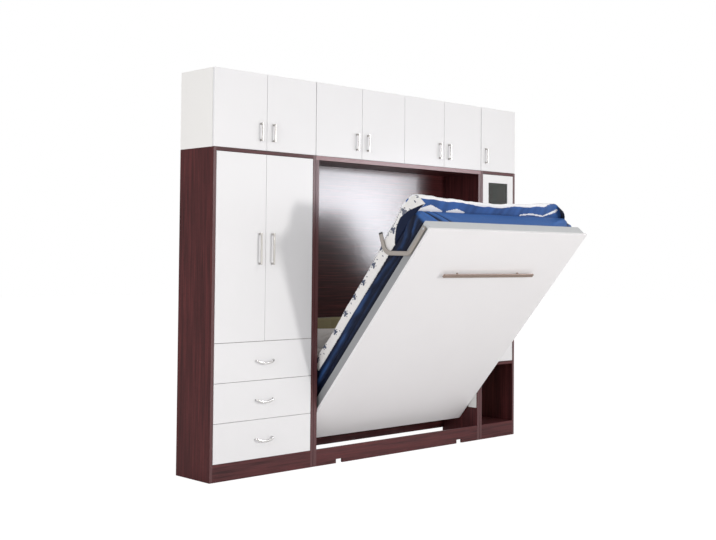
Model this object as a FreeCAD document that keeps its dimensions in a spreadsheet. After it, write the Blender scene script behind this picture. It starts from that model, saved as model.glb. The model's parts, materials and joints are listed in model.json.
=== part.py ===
import FreeCAD, Part
import Sketcher
import math
import os
import re
from types import SimpleNamespace

# Cabinet bed: a fold-down double bed in a wall unit with a wardrobe column, a shelf column
# and a row of top cupboards. Millimetres, +X to the right, +Y towards the wall, +Z up.
# The origin is on the floor, at the middle of the width, in the plane of the front edges.

# Driving dimensions: alias, value
SIZES = {
    # the wall unit
    "wardrobe_width": 920.0,
    "bed_column_width": 1860.0,
    "shelf_column_width": 454.0,
    "module_gap": 3.0,
    "unit_depth": 388.0,
    "lower_height": 2260.0,
    "top_height": 540.0,
    "plinth_height": 120.0,
    "plinth_board": 18.0,
    "side_board": 24.0,
    "niche_side_board": 31.0,
    "deck_board": 24.0,
    "top_side_board": 16.0,
    "back_board": 8.0,
    "front_board": 18.0,
    "front_reveal": 3.0,
    "overlay_reveal": 1.5,
    "bumper_gap": 2.0,
    # wardrobe inside
    "wardrobe_shelf_height": 1990.0,
    "shelf_board": 20.0,
    "shelf_setback": 40.0,
    "rail_tube": 25.0,
    "rail_wall": 2.0,
    "rail_drop": 60.0,
    "rail_flange": 46.0,
    "rail_flange_thick": 6.0,
    # drawers
    "drawer_row_height": 270.0,
    "drawer_wall": 15.0,
    "drawer_bottom": 8.0,
    "drawer_depth": 330.0,
    "drawer_height": 165.0,
    "drawer_lift": 26.0,
    "runner_width": 12.5,
    "runner_height": 42.0,
    "runner_gap": 0.5,
    "runner_lift": 60.0,
    # shelf column
    "open_shelf_top": 637.0,
    "column_drawer_top": 927.0,
    "glass_shelf_1": 1360.0,
    "glass_shelf_2": 1800.0,
    "glass_stile": 73.0,
    "glass_top_rail": 68.0,
    "glass_pane": 4.0,
    "glass_rebate": 8.0,
    "glass_setback": 8.0,
    # bed niche
    "niche_back_board": 16.0,
    "niche_back_low": 68.0,
    "headboard_low": 600.0,
    "headboard_high": 1050.0,
    "headboard_thick": 24.0,
    "headboard_margin": 12.0,
    "notch_width": 65.0,
    "notch_height": 30.0,
    "notch_inset": 226.0,
    # bed panel and frame, measured along the closed bed
    "photo_tilt": 39.94,
    "pivot_back": 49.0,
    "pivot_height": 408.0,
    "panel_gap": 7.0,
    "panel_setback": 3.0,
    "panel_low": 131.0,
    "panel_length": 2013.0,
    "panel_board": 18.0,
    "rail_inset": 24.0,
    "rail_height": 72.0,
    "rail_width": 30.0,
    "rail_sheet": 2.0,
    "rail_head_gap": 12.0,
    "slat_width": 68.0,
    "slat_thick": 12.0,
    "slat_count": 11.0,
    "slat_first": 330.0,
    "slat_end_gap": 35.0,
    "pin_radius": 8.0,
    "running_gap": 0.05,
    "pivot_boss_radius": 14.0,
    "pivot_plate": 4.0,
    "pivot_plate_width": 86.0,
    "pivot_plate_height": 210.0,
    "pivot_plate_front": 10.0,
    "pivot_plate_rise": 70.0,
    # bed handle
    "bed_bar_length": 1010.0,
    "bed_bar_height": 24.0,
    "bed_bar_thick": 12.0,
    "bed_bar_stand": 22.0,
    "bed_post_span": 680.0,
    "bed_post_radius": 6.0,
    "bed_bar_place": 1625.0,
    # legs
    "leg_pivot_along": 1972.0,
    "leg_pivot_deep": 57.0,
    "leg_width": 32.0,
    "leg_thick": 17.0,
    "leg_knee_along": 212.0,
    "leg_knee_deep": 6.0,
    "leg_hook_along": 359.5,
    "leg_hook_deep": 174.0,
    "leg_end_along": 287.0,
    "leg_end_deep": 288.0,
    "leg_bend_radius": 34.0,
    "leg_hook_radius": 78.0,
    "leg_shaft_radius": 10.0,
    "leg_shaft_wall": 2.0,
    "leg_gap": 2.0,
    "leg_foot_length": 12.0,
    # gas springs
    "gas_anchor_back": 140.0,
    "gas_anchor_height": 640.0,
    "gas_stud_along": 150.0,
    "gas_stud_deep": 45.0,
    "gas_stud_radius": 5.0,
    "gas_radius": 9.0,
    "gas_rod_radius": 4.0,
    "gas_eye_radius": 10.0,
    "gas_eye_thick": 10.0,
    "gas_body_length": 176.0,
    "gas_rod_reach": 71.0,
    "gas_lane": 11.0,
    "gas_open_gap": 1.0,
    # bedding
    "mattress_inset": 15.0,
    "mattress_head": 70.0,
    "mattress_foot": 23.0,
    "mattress_thick": 148.0,
    "mattress_crown": 8.0,
    "mattress_bulge": 1.2,
    "mattress_shell": 10.0,
    "soft_gap": 0.8,
    "duvet_head": 500.0,
    "duvet_foot_over": 55.0,
    "duvet_thick": 32.0,
    "duvet_overhang": 34.0,
    "duvet_side": 10.5,
    "duvet_foot_rise": 58.0,
    "duvet_shell": 5.0,
    "duvet_core_side": 30.0,
    "pillow_length": 700.0,
    "pillow_height": 395.0,
    "pillow_thick": 68.0,
    "pillow_seam": 26.0,
    "pillow_low": 606.0,
    "pillow_offset": 410.0,
    # door and drawer handles
    "long_handle": 220.0,
    "short_handle": 128.0,
    "handle_bar": 12.0,
    "handle_bar_thick": 8.0,
    "handle_stand": 22.0,
    "handle_foot": 14.0,
    "handle_edge": 57.0,
    "long_handle_mid": 1573.0,
    "short_handle_rise": 129.0,
    "pull_width": 168.0,
    "pull_sag": 20.0,
    "pull_bar": 9.0,
    "pull_thick": 6.0,
    "pull_reach": 24.0,
    "pull_drop": 6.0,
    # wall fixing
    "bracket_leg": 60.0,
    "bracket_width": 40.0,
    "bracket_sheet": 3.0,
    "bracket_hole": 4.0,
    "bracket_hole_drop": 38.0,
    "bracket_inset": 260.0,
    # a cut runs past its board by this much
    "overrun": 5.0,
}

os.makedirs("parts", exist_ok=True)
doc = FreeCAD.newDocument("CabinetBed")
sheet = doc.addObject("Spreadsheet::Sheet", "Sizes")
for row, (alias, amount) in enumerate(SIZES.items(), start=1):
    sheet.set(f"A{row}", alias)
    sheet.set(f"B{row}", str(amount))
    sheet.setAlias(f"B{row}", alias)
doc.recompute()
S = SimpleNamespace(**{alias: float(sheet.get(alias)) for alias in SIZES})

X_AXIS = FreeCAD.Vector(1, 0, 0)
Y_AXIS = FreeCAD.Vector(0, 1, 0)
Z_AXIS = FreeCAD.Vector(0, 0, 1)
NODES = []


def bound(formula):
    """The formula with each size name pointed at its cell."""
    def cell(found):
        word = found.group(0)
        return f"Sizes.{word}" if word in SIZES else word

    return re.sub(r"[a-z_0-9]+", cell, formula)


def board(label, corner, size):
    """A rectangular board from formulas for its low corner and its three sizes."""
    box = doc.addObject("Part::Box", label)
    for prop, formula in zip(("Length", "Width", "Height"), size):
        box.setExpression(prop, bound(formula))
    for axis, formula in zip("xyz", corner):
        box.setExpression(f"Placement.Base.{axis}", bound(formula))
    return box


def rod(label, centre, radius, length, axis=X_AXIS):
    """A round bar from its starting centre, along an axis."""
    bar = doc.addObject("Part::Cylinder", label)
    bar.setExpression("Radius", bound(radius))
    bar.setExpression("Height", bound(length))
    bar.Placement = FreeCAD.Placement(FreeCAD.Vector(0, 0, 0), FreeCAD.Rotation(Z_AXIS, axis))
    for name, formula in zip("xyz", centre):
        bar.setExpression(f"Placement.Base.{name}", bound(formula))
    return bar


def cut(label, base, tools):
    """The base with the tools taken away."""
    result = base
    for number, tool in enumerate(tools, start=1):
        step = doc.addObject("Part::Cut", label if number == len(tools) else f"{label}_cut_{number}")
        step.Base = result
        step.Tool = tool
        result = step
    return result


def fuse(label, pieces):
    """One solid made of several that touch."""
    whole = doc.addObject("Part::MultiFuse", label)
    whole.Shapes = pieces
    return whole


def own_plane(body, role):
    """One of the body's own three planes."""
    return next(plane for plane in body.Origin.OriginFeatures if plane.Role == role)


def sketch_on(body, label, role):
    """An empty sketch on one of the body's own planes."""
    sketch = body.newObject("Sketcher::SketchObject", label)
    sketch.AttachmentSupport = [(own_plane(body, role), "")]
    sketch.MapMode = "FlatFace"
    return sketch


def pin(sketch, shape, point, across, up):
    """Holds one point of a sketch at two formulas from its origin."""
    for kind, formula in (("DistanceX", across), ("DistanceY", up)):
        held = sketch.addConstraint(Sketcher.Constraint(kind, -1, 1, shape, point, 0.0))
        sketch.setExpression(f"Constraints[{held}]", bound(formula))


def outline(body, label, role, corners):
    """A closed outline of straight lines, each corner at its own pair of formulas."""
    sketch = sketch_on(body, label, role)
    count = len(corners)
    turns = [2 * math.pi * number / count for number in range(count + 1)]
    ring = [FreeCAD.Vector(S.unit_depth * math.cos(turn), S.unit_depth * math.sin(turn), 0) for turn in turns]
    for start, end in zip(ring, ring[1:]):
        sketch.addGeometry(Part.LineSegment(start, end), False)
    for number in range(count):
        sketch.addConstraint(Sketcher.Constraint("Coincident", number, 2, (number + 1) % count, 1))
    for number, (across, up) in enumerate(corners):
        pin(sketch, number, 1, across, up)
    return sketch


def circles(body, label, role, rings):
    """Circles in one sketch, each from its two places and its radius."""
    sketch = sketch_on(body, label, role)
    for number, (across, up, radius) in enumerate(rings):
        sketch.addGeometry(Part.Circle(FreeCAD.Vector(0, 0, 0), Z_AXIS, S.unit_depth), False)
        held = sketch.addConstraint(Sketcher.Constraint("Radius", number, S.unit_depth))
        sketch.setExpression(f"Constraints[{held}]", bound(radius))
        pin(sketch, number, 3, across, up)
    return sketch


def body_at(label, corner):
    """An empty body whose origin stands at a corner given by formulas."""
    body = doc.addObject("PartDesign::Body", label)
    for axis, formula in zip("xyz", corner):
        body.setExpression(f"Placement.Base.{axis}", bound(formula))
    return body


def pad(body, label, sketch, length):
    """The sketch grown into a bar along its plane's own way."""
    feature = body.newObject("PartDesign::Pad", label)
    feature.Profile = sketch
    feature.setExpression("Length", bound(length))
    return feature


def pocket(body, label, sketch):
    """The sketch cut through the whole body, both ways from its plane."""
    feature = body.newObject("PartDesign::Pocket", label)
    feature.Profile = sketch
    feature.Type = "ThroughAll"
    feature.Midplane = True
    return feature


def node(label, pieces, placement=None):
    """A finished sub-part: its separate solids under one name."""
    group = doc.addObject("Part::Compound", label)
    group.Label = label
    group.Links = pieces
    if placement is not None:
        group.Placement = placement
    NODES.append(group)
    return group


def node_shape(label, shapes, placement=None):
    """A finished sub-part from shapes worked out here."""
    piece = doc.addObject("Part::Feature", label)
    piece.Label = label
    piece.Shape = Part.makeCompound(shapes)
    if placement is not None:
        piece.Placement = placement
    NODES.append(piece)
    return piece


# Reference formulas in the unit's own frame
UNIT_WIDTH = "(wardrobe_width + bed_column_width + shelf_column_width + 2 * module_gap)"
WARDROBE_X = f"(-{UNIT_WIDTH} / 2)"
NICHE_X = f"({WARDROBE_X} + wardrobe_width + module_gap)"
COLUMN_X = f"({NICHE_X} + bed_column_width + module_gap)"
INNER_BACK = "(unit_depth - back_board)"
NICHE_FACE = "(unit_depth - niche_back_board)"
unit_width = S.wardrobe_width + S.bed_column_width + S.shelf_column_width + 2 * S.module_gap
wardrobe_x = -unit_width / 2
niche_x = wardrobe_x + S.wardrobe_width + S.module_gap
niche_left = niche_x + S.niche_side_board
niche_right = niche_x + S.bed_column_width - S.niche_side_board
bed_middle = (niche_left + niche_right) / 2
NICHE_LEFT = f"({NICHE_X} + niche_side_board)"
NICHE_RIGHT = f"({NICHE_X} + bed_column_width - niche_side_board)"
BED_MIDDLE = f"(({NICHE_LEFT} + {NICHE_RIGHT}) / 2)"


# Columns: sides, decks, backs and plinths
def side_pair(label, start, width, thick, height):
    """The two upright boards of one column."""
    return [
        board(f"{label}_left", (start, "0", "0"), (thick, "unit_depth", height)),
        board(f"{label}_right", (f"{start} + {width} - {thick}", "0", "0"), (thick, "unit_depth", height)),
    ]


def deck(label, start, width, low, front="plinth_board", thick="deck_board", back=INNER_BACK):
    """A level board between a column's sides."""
    return board(
        label,
        (f"{start} + side_board", front, low),
        (f"{width} - 2 * side_board", f"{back} - ({front})", thick),
    )


DRAWER_ROWS = (1, 2, 3)
WARDROBE_FRONTS = f"(plinth_height + {len(DRAWER_ROWS)} * drawer_row_height)"
node("wardrobe_sides", side_pair("wardrobe_side", WARDROBE_X, "wardrobe_width", "side_board", "lower_height"))
node("wardrobe_decks", [
    deck("wardrobe_bottom", WARDROBE_X, "wardrobe_width", "plinth_height - deck_board"),
    deck("wardrobe_divider", WARDROBE_X, "wardrobe_width", f"{WARDROBE_FRONTS} - deck_board / 2",
         "front_board + bumper_gap"),
    deck("wardrobe_shelf", WARDROBE_X, "wardrobe_width", "wardrobe_shelf_height", "shelf_setback",
         "shelf_board"),
    deck("wardrobe_top", WARDROBE_X, "wardrobe_width", "lower_height - deck_board", "0",
         back="unit_depth"),
])
node("shelf_column_sides",
     side_pair("column_side", COLUMN_X, "shelf_column_width", "side_board", "lower_height"))
COLUMN_DIVIDER = "(column_drawer_top + front_reveal / 2 - deck_board / 2)"
node("shelf_column_decks", [
    deck("column_bottom", COLUMN_X, "shelf_column_width", "plinth_height - deck_board"),
    deck("column_open_shelf", COLUMN_X, "shelf_column_width", "open_shelf_top - deck_board", "0"),
    deck("column_divider", COLUMN_X, "shelf_column_width", COLUMN_DIVIDER, "front_board + bumper_gap"),
    deck("column_glass_shelf_1", COLUMN_X, "shelf_column_width", "glass_shelf_1", "shelf_setback",
         "shelf_board"),
    deck("column_glass_shelf_2", COLUMN_X, "shelf_column_width", "glass_shelf_2", "shelf_setback",
         "shelf_board"),
    deck("column_top", COLUMN_X, "shelf_column_width", "lower_height - deck_board", "0",
         back="unit_depth"),
])


def column_back(label, start, width):
    """The thin board that closes a column behind."""
    return board(
        label,
        (f"{start} + side_board", INNER_BACK, "plinth_height - deck_board"),
        (f"{width} - 2 * side_board", "back_board", "lower_height - plinth_height"),
    )


TOP_BACK = "(back_board * 3 / 4)"


def top_back(label, start, width):
    """The thin board that closes a top cabinet behind."""
    return board(
        label,
        (f"{start} + top_side_board", f"unit_depth - {TOP_BACK}", "lower_height"),
        (f"{width} - 2 * top_side_board", TOP_BACK, "top_height"),
    )


node("cabinet_backs", [
    column_back("wardrobe_back", WARDROBE_X, "wardrobe_width"),
    column_back("column_back", COLUMN_X, "shelf_column_width"),
    top_back("top_back_left", WARDROBE_X, "wardrobe_width"),
    top_back("top_back_middle", NICHE_X, "bed_column_width"),
    top_back("top_back_right", COLUMN_X, "shelf_column_width"),
])

NICHE_TOP = "(lower_height - niche_side_board)"
node("niche_sides", side_pair("niche_side", NICHE_X, "bed_column_width", "niche_side_board", NICHE_TOP))
node("niche_header", [
    board("niche_header_board", (NICHE_X, "0", NICHE_TOP),
          ("bed_column_width", "unit_depth", "niche_side_board")),
])
node("niche_back", [
    board("niche_back_panel", (NICHE_LEFT, NICHE_FACE, "niche_back_low"),
          (f"{NICHE_RIGHT} - {NICHE_LEFT}", "niche_back_board", f"{NICHE_TOP} - niche_back_low")),
])


def plinth_notch(number, x_formula):
    """A foot notch through the lower edge of the bed column's plinth."""
    return board(f"plinth_notch_{number}", (x_formula, "-overrun", "-overrun"),
                 ("notch_width", "plinth_board + 2 * overrun", "notch_height + overrun"))


bed_plinth = cut(
    "bed_plinth",
    board("bed_plinth_board", (NICHE_LEFT, "0", "0"),
          (f"{NICHE_RIGHT} - {NICHE_LEFT}", "plinth_board", "plinth_height")),
    [plinth_notch(1, f"{NICHE_X} + notch_inset"),
     plinth_notch(2, f"{NICHE_X} + bed_column_width - notch_inset - notch_width")],
)
node("plinth", [
    board("wardrobe_plinth", (f"{WARDROBE_X} + side_board", "0", "0"),
          ("wardrobe_width - 2 * side_board", "plinth_board", "plinth_height")),
    bed_plinth,
    board("column_plinth", (f"{COLUMN_X} + side_board", "0", "0"),
          ("shelf_column_width - 2 * side_board", "plinth_board", "plinth_height")),
])

# Top cabinets: three white boxes behind overlay doors
TOP_FRONT = "(front_board + bumper_gap)"
TOP_BOXES = (
    ("left", WARDROBE_X, "wardrobe_width"),
    ("middle", NICHE_X, "bed_column_width"),
    ("right", COLUMN_X, "shelf_column_width"),
)
top_sides = []
top_decks = []
for name, start, width in TOP_BOXES:
    for side, shift in (("left", "0"), ("right", f"{width} - top_side_board")):
        top_sides.append(board(f"top_side_{name}_{side}", (f"{start} + {shift}", TOP_FRONT, "lower_height"),
                               ("top_side_board", f"unit_depth - {TOP_FRONT}", "top_height")))
    for level, low in (("bottom", "lower_height"), ("top", "lower_height + top_height - top_side_board")):
        spans = ((f"{start} + top_side_board", f"{width} - 2 * top_side_board"),)
        if name == "middle":
            half = f"({width} - 3 * top_side_board) / 2"
            spans = ((f"{start} + top_side_board", half),
                     (f"{start} + {half} + 2 * top_side_board", half))
        for number, (low_x, span) in enumerate(spans, start=1):
            top_decks.append(board(f"top_deck_{name}_{level}_{number}", (low_x, TOP_FRONT, low),
                                   (span, f"unit_depth - {TOP_BACK} - {TOP_FRONT}", "top_side_board")))
top_sides.append(board("top_divider", (f"{NICHE_X} + bed_column_width / 2 - top_side_board / 2", TOP_FRONT,
                                       "lower_height"),
                       ("top_side_board", f"unit_depth - {TOP_BACK} - {TOP_FRONT}", "top_height")))
node("top_cabinet_sides", top_sides)
node("top_cabinet_decks", top_decks)

# Wardrobe rail for hangers, with a cup at each side board
RAIL_Z = "(wardrobe_shelf_height - rail_drop)"
RAIL_X = f"({WARDROBE_X} + side_board)"
RAIL_SPAN = "(wardrobe_width - 2 * side_board)"
rail_centre = (f"{RAIL_X} + rail_flange_thick", "unit_depth / 2", RAIL_Z)
node("hanging_rail", [
    cut("hanging_rail_tube",
        rod("rail_tube_outer", rail_centre, "rail_tube / 2", f"{RAIL_SPAN} - 2 * rail_flange_thick"),
        [rod("rail_tube_inner", rail_centre, "rail_tube / 2 - rail_wall",
             f"{RAIL_SPAN} - 2 * rail_flange_thick")]),
    rod("rail_cup_left", (RAIL_X, "unit_depth / 2", RAIL_Z), "rail_flange / 2", "rail_flange_thick"),
    rod("rail_cup_right", (f"{RAIL_X} + {RAIL_SPAN} - rail_flange_thick", "unit_depth / 2", RAIL_Z),
        "rail_flange / 2", "rail_flange_thick"),
])


# Doors
def pull_bar(label, x_formula, middle, length):
    """An upright bar handle on two feet flush with its ends, in front of a door."""
    low = f"({middle} - {length} / 2)"
    bar = board(f"{label}_bar", (f"{x_formula} - handle_bar / 2", "-handle_stand - handle_bar_thick", low),
                ("handle_bar", "handle_bar_thick", length))
    feet = []
    for end, foot_low in (("low", low), ("high", f"({middle} + {length} / 2 - handle_foot)")):
        feet.append(board(f"{label}_foot_{end}", (f"{x_formula} - handle_bar / 2", "-handle_stand", foot_low),
                          ("handle_bar", "handle_stand", "handle_foot")))
    return node(label, [fuse(f"{label}_whole", [bar] + feet)])


DOOR_LOW = f"({WARDROBE_FRONTS} + front_reveal / 2)"
DOOR_TALL = f"(lower_height - deck_board - front_reveal - {DOOR_LOW})"
LEAF = "((wardrobe_width - 2 * side_board - 3 * front_reveal) / 2)"
WARDROBE_MIDDLE = f"({WARDROBE_X} + wardrobe_width / 2)"
node("wardrobe_door_left", [
    board("wardrobe_leaf_left", (f"{WARDROBE_X} + side_board + front_reveal", "0", DOOR_LOW),
          (LEAF, "front_board", DOOR_TALL)),
])
node("wardrobe_door_right", [
    board("wardrobe_leaf_right", (f"{WARDROBE_MIDDLE} + front_reveal / 2", "0", DOOR_LOW),
          (LEAF, "front_board", DOOR_TALL)),
])
pull_bar("wardrobe_handle_left", f"({WARDROBE_MIDDLE} - handle_edge)", "long_handle_mid", "long_handle")
pull_bar("wardrobe_handle_right", f"({WARDROBE_MIDDLE} + handle_edge)", "long_handle_mid", "long_handle")

# Top doors: start of the leaf, its width and the side that carries the handle
WARDROBE_LEAF = "(wardrobe_width / 2)"
MIDDLE_LEAF = "(bed_column_width / 4)"
TOP_DOORS = [
    (f"({WARDROBE_X})", WARDROBE_LEAF, "right"),
    (f"({WARDROBE_X} + {WARDROBE_LEAF})", WARDROBE_LEAF, "left"),
    (f"({NICHE_X})", MIDDLE_LEAF, "right"),
    (f"({NICHE_X} + {MIDDLE_LEAF})", MIDDLE_LEAF, "left"),
    (f"({NICHE_X} + 2 * {MIDDLE_LEAF})", MIDDLE_LEAF, "right"),
    (f"({NICHE_X} + 3 * {MIDDLE_LEAF})", MIDDLE_LEAF, "left"),
    (f"({COLUMN_X})", "shelf_column_width", "left"),
]
for number, (start, width, side) in enumerate(TOP_DOORS, start=1):
    node(f"top_door_{number}", [
        board(f"top_leaf_{number}", (f"{start} + overlay_reveal", "0", "lower_height + overlay_reveal"),
              (f"{width} - 2 * overlay_reveal", "front_board", "top_height - overlay_reveal")),
    ])
    place = f"({start} + handle_edge)" if side == "left" else f"({start} + {width} - handle_edge)"
    pull_bar(f"top_handle_{number}", place, "(lower_height + short_handle_rise)", "short_handle")

# Glass door of the shelf column: a white frame rebated behind for its pane
GLASS_LOW = "(column_drawer_top + front_reveal)"
GLASS_TALL = f"(lower_height - deck_board - front_reveal - {GLASS_LOW})"
GLASS_X = f"({COLUMN_X} + side_board + front_reveal)"
GLASS_WIDE = "(shelf_column_width - 2 * side_board - 2 * front_reveal)"
PANE_X = f"({GLASS_X} + glass_stile)"
PANE_Z = f"({GLASS_LOW} + glass_stile)"
PANE_WIDE = f"({GLASS_WIDE} - 2 * glass_stile)"
PANE_TALL = f"({GLASS_TALL} - glass_stile - glass_top_rail)"
glass_frame = cut(
    "glass_frame",
    board("glass_leaf", (GLASS_X, "0", GLASS_LOW), (GLASS_WIDE, "front_board", GLASS_TALL)),
    [board("glass_opening", (PANE_X, "-overrun", PANE_Z),
           (PANE_WIDE, "front_board + 2 * overrun", PANE_TALL)),
     board("glass_rebate_cut", (f"{PANE_X} - glass_rebate", "glass_setback", f"{PANE_Z} - glass_rebate"),
           (f"{PANE_WIDE} + 2 * glass_rebate", "front_board", f"{PANE_TALL} + 2 * glass_rebate"))],
)
node("glass_door_frame", [glass_frame])
node("glass_pane", [
    board("glass_sheet", (f"{PANE_X} - glass_rebate", "glass_setback", f"{PANE_Z} - glass_rebate"),
          (f"{PANE_WIDE} + 2 * glass_rebate", "glass_pane", f"{PANE_TALL} + 2 * glass_rebate")),
])
pull_bar("glass_door_handle", f"({GLASS_X} + glass_stile / 2)", "long_handle_mid", "long_handle")


# Drawers: a front, a box of four boards and a bow pull
BOW_RADIUS = "((pull_width * pull_width / 4 + pull_sag * pull_sag) / (2 * pull_sag))"
PULL_FRONT = "(-pull_reach - pull_thick)"


def bow_pull(label, middle_x, height):
    """A flat bow handle: a ring's lowest part, standing off the front on two feet."""
    centre_z = f"({height} + pull_sag / 2 + {BOW_RADIUS} - pull_sag)"
    centre = (middle_x, f"{PULL_FRONT}", centre_z)
    ring = cut(f"{label}_ring",
               rod(f"{label}_outer", centre, f"{BOW_RADIUS} + pull_bar / 2", "pull_thick", Y_AXIS),
               [rod(f"{label}_inner", centre, f"{BOW_RADIUS} - pull_bar / 2", "pull_thick", Y_AXIS)])
    window = board(f"{label}_window", (f"{middle_x} - pull_width / 2", PULL_FRONT, f"{height} - pull_sag"),
                   ("pull_width", "pull_thick", "2 * pull_sag"))
    bow = doc.addObject("Part::Common", f"{label}_bow")
    bow.Base = ring
    bow.Tool = window
    feet = []
    for side, low_x in (("left", f"({middle_x} - pull_width / 2)"),
                        ("right", f"({middle_x} + pull_width / 2 - pull_bar)")):
        feet.append(board(f"{label}_foot_{side}",
                          (low_x, "-pull_reach", f"{height} + pull_sag / 2 - pull_bar / 2"),
                          ("pull_bar", "pull_reach", "pull_bar")))
    return node(label, [fuse(f"{label}_whole", [bow] + feet)])


def drawer(label, start, width, front_low, front_tall):
    """One drawer and its pull, from its column's start and width and its front's low edge and height."""
    inner = f"({width} - 2 * side_board - 2 * runner_width - 2 * runner_gap)"
    left = f"({start} + side_board + runner_width + runner_gap)"
    low = f"({front_low} + drawer_lift)"
    wall = "drawer_wall"
    pieces = [
        board(f"{label}_front", (f"{start} + side_board + front_reveal", "0", front_low),
              (f"{width} - 2 * side_board - 2 * front_reveal", "front_board", front_tall)),
        board(f"{label}_side_left", (left, "front_board", low), (wall, "drawer_depth", "drawer_height")),
        board(f"{label}_side_right", (f"{left} + {inner} - {wall}", "front_board", low),
              (wall, "drawer_depth", "drawer_height")),
        board(f"{label}_back", (f"{left} + {wall}", f"front_board + drawer_depth - {wall}", low),
              (f"{inner} - 2 * {wall}", wall, "drawer_height")),
        board(f"{label}_bottom", (f"{left} + {wall}", "front_board", low),
              (f"{inner} - 2 * {wall}", f"drawer_depth - {wall}", "drawer_bottom")),
    ]
    return node(label, pieces)


FRONT_TALL = "(drawer_row_height - front_reveal)"
for number in DRAWER_ROWS:
    row = f"(plinth_height + {number - 1} * drawer_row_height)"
    drawer(f"wardrobe_drawer_{number}", WARDROBE_X, "wardrobe_width", f"({row} + front_reveal / 2)",
           FRONT_TALL)
    bow_pull(f"wardrobe_drawer_pull_{number}", WARDROBE_MIDDLE,
             f"({row} + drawer_row_height / 2 - pull_drop)")
COLUMN_DRAWER_LOW = "(open_shelf_top + front_reveal)"
drawer("column_drawer", COLUMN_X, "shelf_column_width", COLUMN_DRAWER_LOW,
       f"(column_drawer_top - {COLUMN_DRAWER_LOW})")
bow_pull("column_drawer_pull", f"({COLUMN_X} + shelf_column_width / 2)",
         "((open_shelf_top + column_drawer_top) / 2 - pull_drop)")

runners = []
RUNNER_ROWS = [
    (f"wardrobe_{number}", WARDROBE_X, "wardrobe_width",
     f"(plinth_height + {number - 1} * drawer_row_height + front_reveal / 2)")
    for number in DRAWER_ROWS
]
RUNNER_ROWS.append(("column", COLUMN_X, "shelf_column_width", COLUMN_DRAWER_LOW))
for name, start, width, low in RUNNER_ROWS:
    for side, x_formula in (("left", f"{start} + side_board"),
                            ("right", f"{start} + {width} - side_board - runner_width")):
        runners.append(board(f"runner_{name}_{side}",
                             (x_formula, TOP_FRONT, f"{low} + drawer_lift + runner_lift"),
                             ("runner_width", "drawer_depth", "runner_height")))
node("drawer_runners", runners)

# The bed, modelled closed and then turned about its pivot to the tilt of the photograph
PIVOT = FreeCAD.Vector(0, S.pivot_back, S.pivot_height)
BED = FreeCAD.Placement(FreeCAD.Vector(0, 0, 0), FreeCAD.Rotation(X_AXIS, S.photo_tilt), PIVOT)
PANEL_X = f"({NICHE_LEFT} + panel_gap)"
PANEL_WIDE = f"({NICHE_RIGHT} - {NICHE_LEFT} - 2 * panel_gap)"
FRAME_Y = "(panel_setback + panel_board)"
FRAME_X = f"({PANEL_X} + rail_inset)"
FRAME_WIDE = f"({PANEL_WIDE} - 2 * rail_inset)"
panel_x = niche_left + S.panel_gap
frame_x = panel_x + S.rail_inset
frame_right = niche_right - S.panel_gap - S.rail_inset
frame_y = S.panel_setback + S.panel_board

node("bed_panel", [
    board("bed_panel_board", (PANEL_X, "panel_setback", "panel_low"),
          (PANEL_WIDE, "panel_board", "panel_length")),
], BED)

# Side rails are channels that open inwards, with bores for the pivot pins and the leg shaft
RAIL_LOW = "(panel_low + rail_head_gap + rail_width)"
RAIL_LONG = "(panel_length - rail_head_gap - 2 * rail_width)"
LEG_Y = "(panel_setback + leg_pivot_deep)"
LEG_Z = "(panel_low + leg_pivot_along)"
CHANNEL_LEFT = (
    ("0", "0"), ("rail_width", "0"), ("rail_width", "rail_sheet"), ("rail_sheet", "rail_sheet"),
    ("rail_sheet", "rail_height - rail_sheet"), ("rail_width", "rail_height - rail_sheet"),
    ("rail_width", "rail_height"), ("0", "rail_height"),
)
CHANNEL_RIGHT = tuple((f"rail_width - ({across})", up) for across, up in reversed(CHANNEL_LEFT))
side_rails = []
for side, channel, outer_x in (
    ("left", CHANNEL_LEFT, FRAME_X),
    ("right", CHANNEL_RIGHT, f"({FRAME_X} + {FRAME_WIDE} - rail_width)"),
):
    rail = body_at(f"side_rail_{side}", (outer_x, FRAME_Y, RAIL_LOW))
    pad(rail, f"side_rail_{side}_channel", outline(rail, f"side_rail_{side}_profile", "XY_Plane", channel),
        RAIL_LONG)
    bores = circles(rail, f"side_rail_{side}_bores", "YZ_Plane", (
        (f"pivot_back - {FRAME_Y}", f"pivot_height - {RAIL_LOW}", "pin_radius + running_gap"),
        (f"{LEG_Y} - {FRAME_Y}", f"{LEG_Z} - {RAIL_LOW}", "leg_shaft_radius + running_gap"),
    ))
    pocket(rail, f"side_rail_{side}_bored", bores)
    side_rails.append(rail)
node("bed_side_rails", side_rails, BED)
end_rails = []
for end, low in (("head", "(panel_low + rail_head_gap)"),
                 ("foot", "(panel_low + panel_length - rail_width)")):
    end_rails.append(cut(
        f"end_rail_{end}",
        board(f"end_rail_{end}_bar", (FRAME_X, FRAME_Y, low), (FRAME_WIDE, "rail_height", "rail_width")),
        [board(f"end_rail_{end}_hollow",
               (f"{FRAME_X} + rail_sheet", f"{FRAME_Y} + rail_sheet", f"{low} + rail_sheet"),
               (f"{FRAME_WIDE} - 2 * rail_sheet", "rail_height - 2 * rail_sheet",
                "rail_width - 2 * rail_sheet"))],
    ))
node("bed_end_rails", end_rails, BED)

SLAT_Y = f"({FRAME_Y} + rail_height - rail_sheet - slat_thick)"
SLAT_RUN = "(panel_length - rail_width - slat_end_gap - slat_width - slat_first)"
slats = []
for number in range(round(S.slat_count)):
    slat_low = f"panel_low + slat_first + {number} * {SLAT_RUN} / (slat_count - 1)"
    slats.append(board(f"slat_{number + 1}", (f"{FRAME_X} + rail_sheet", SLAT_Y, slat_low),
                       (f"{FRAME_WIDE} - 2 * rail_sheet", "slat_thick", "slat_width")))
node("bed_slats", slats, BED)

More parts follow.
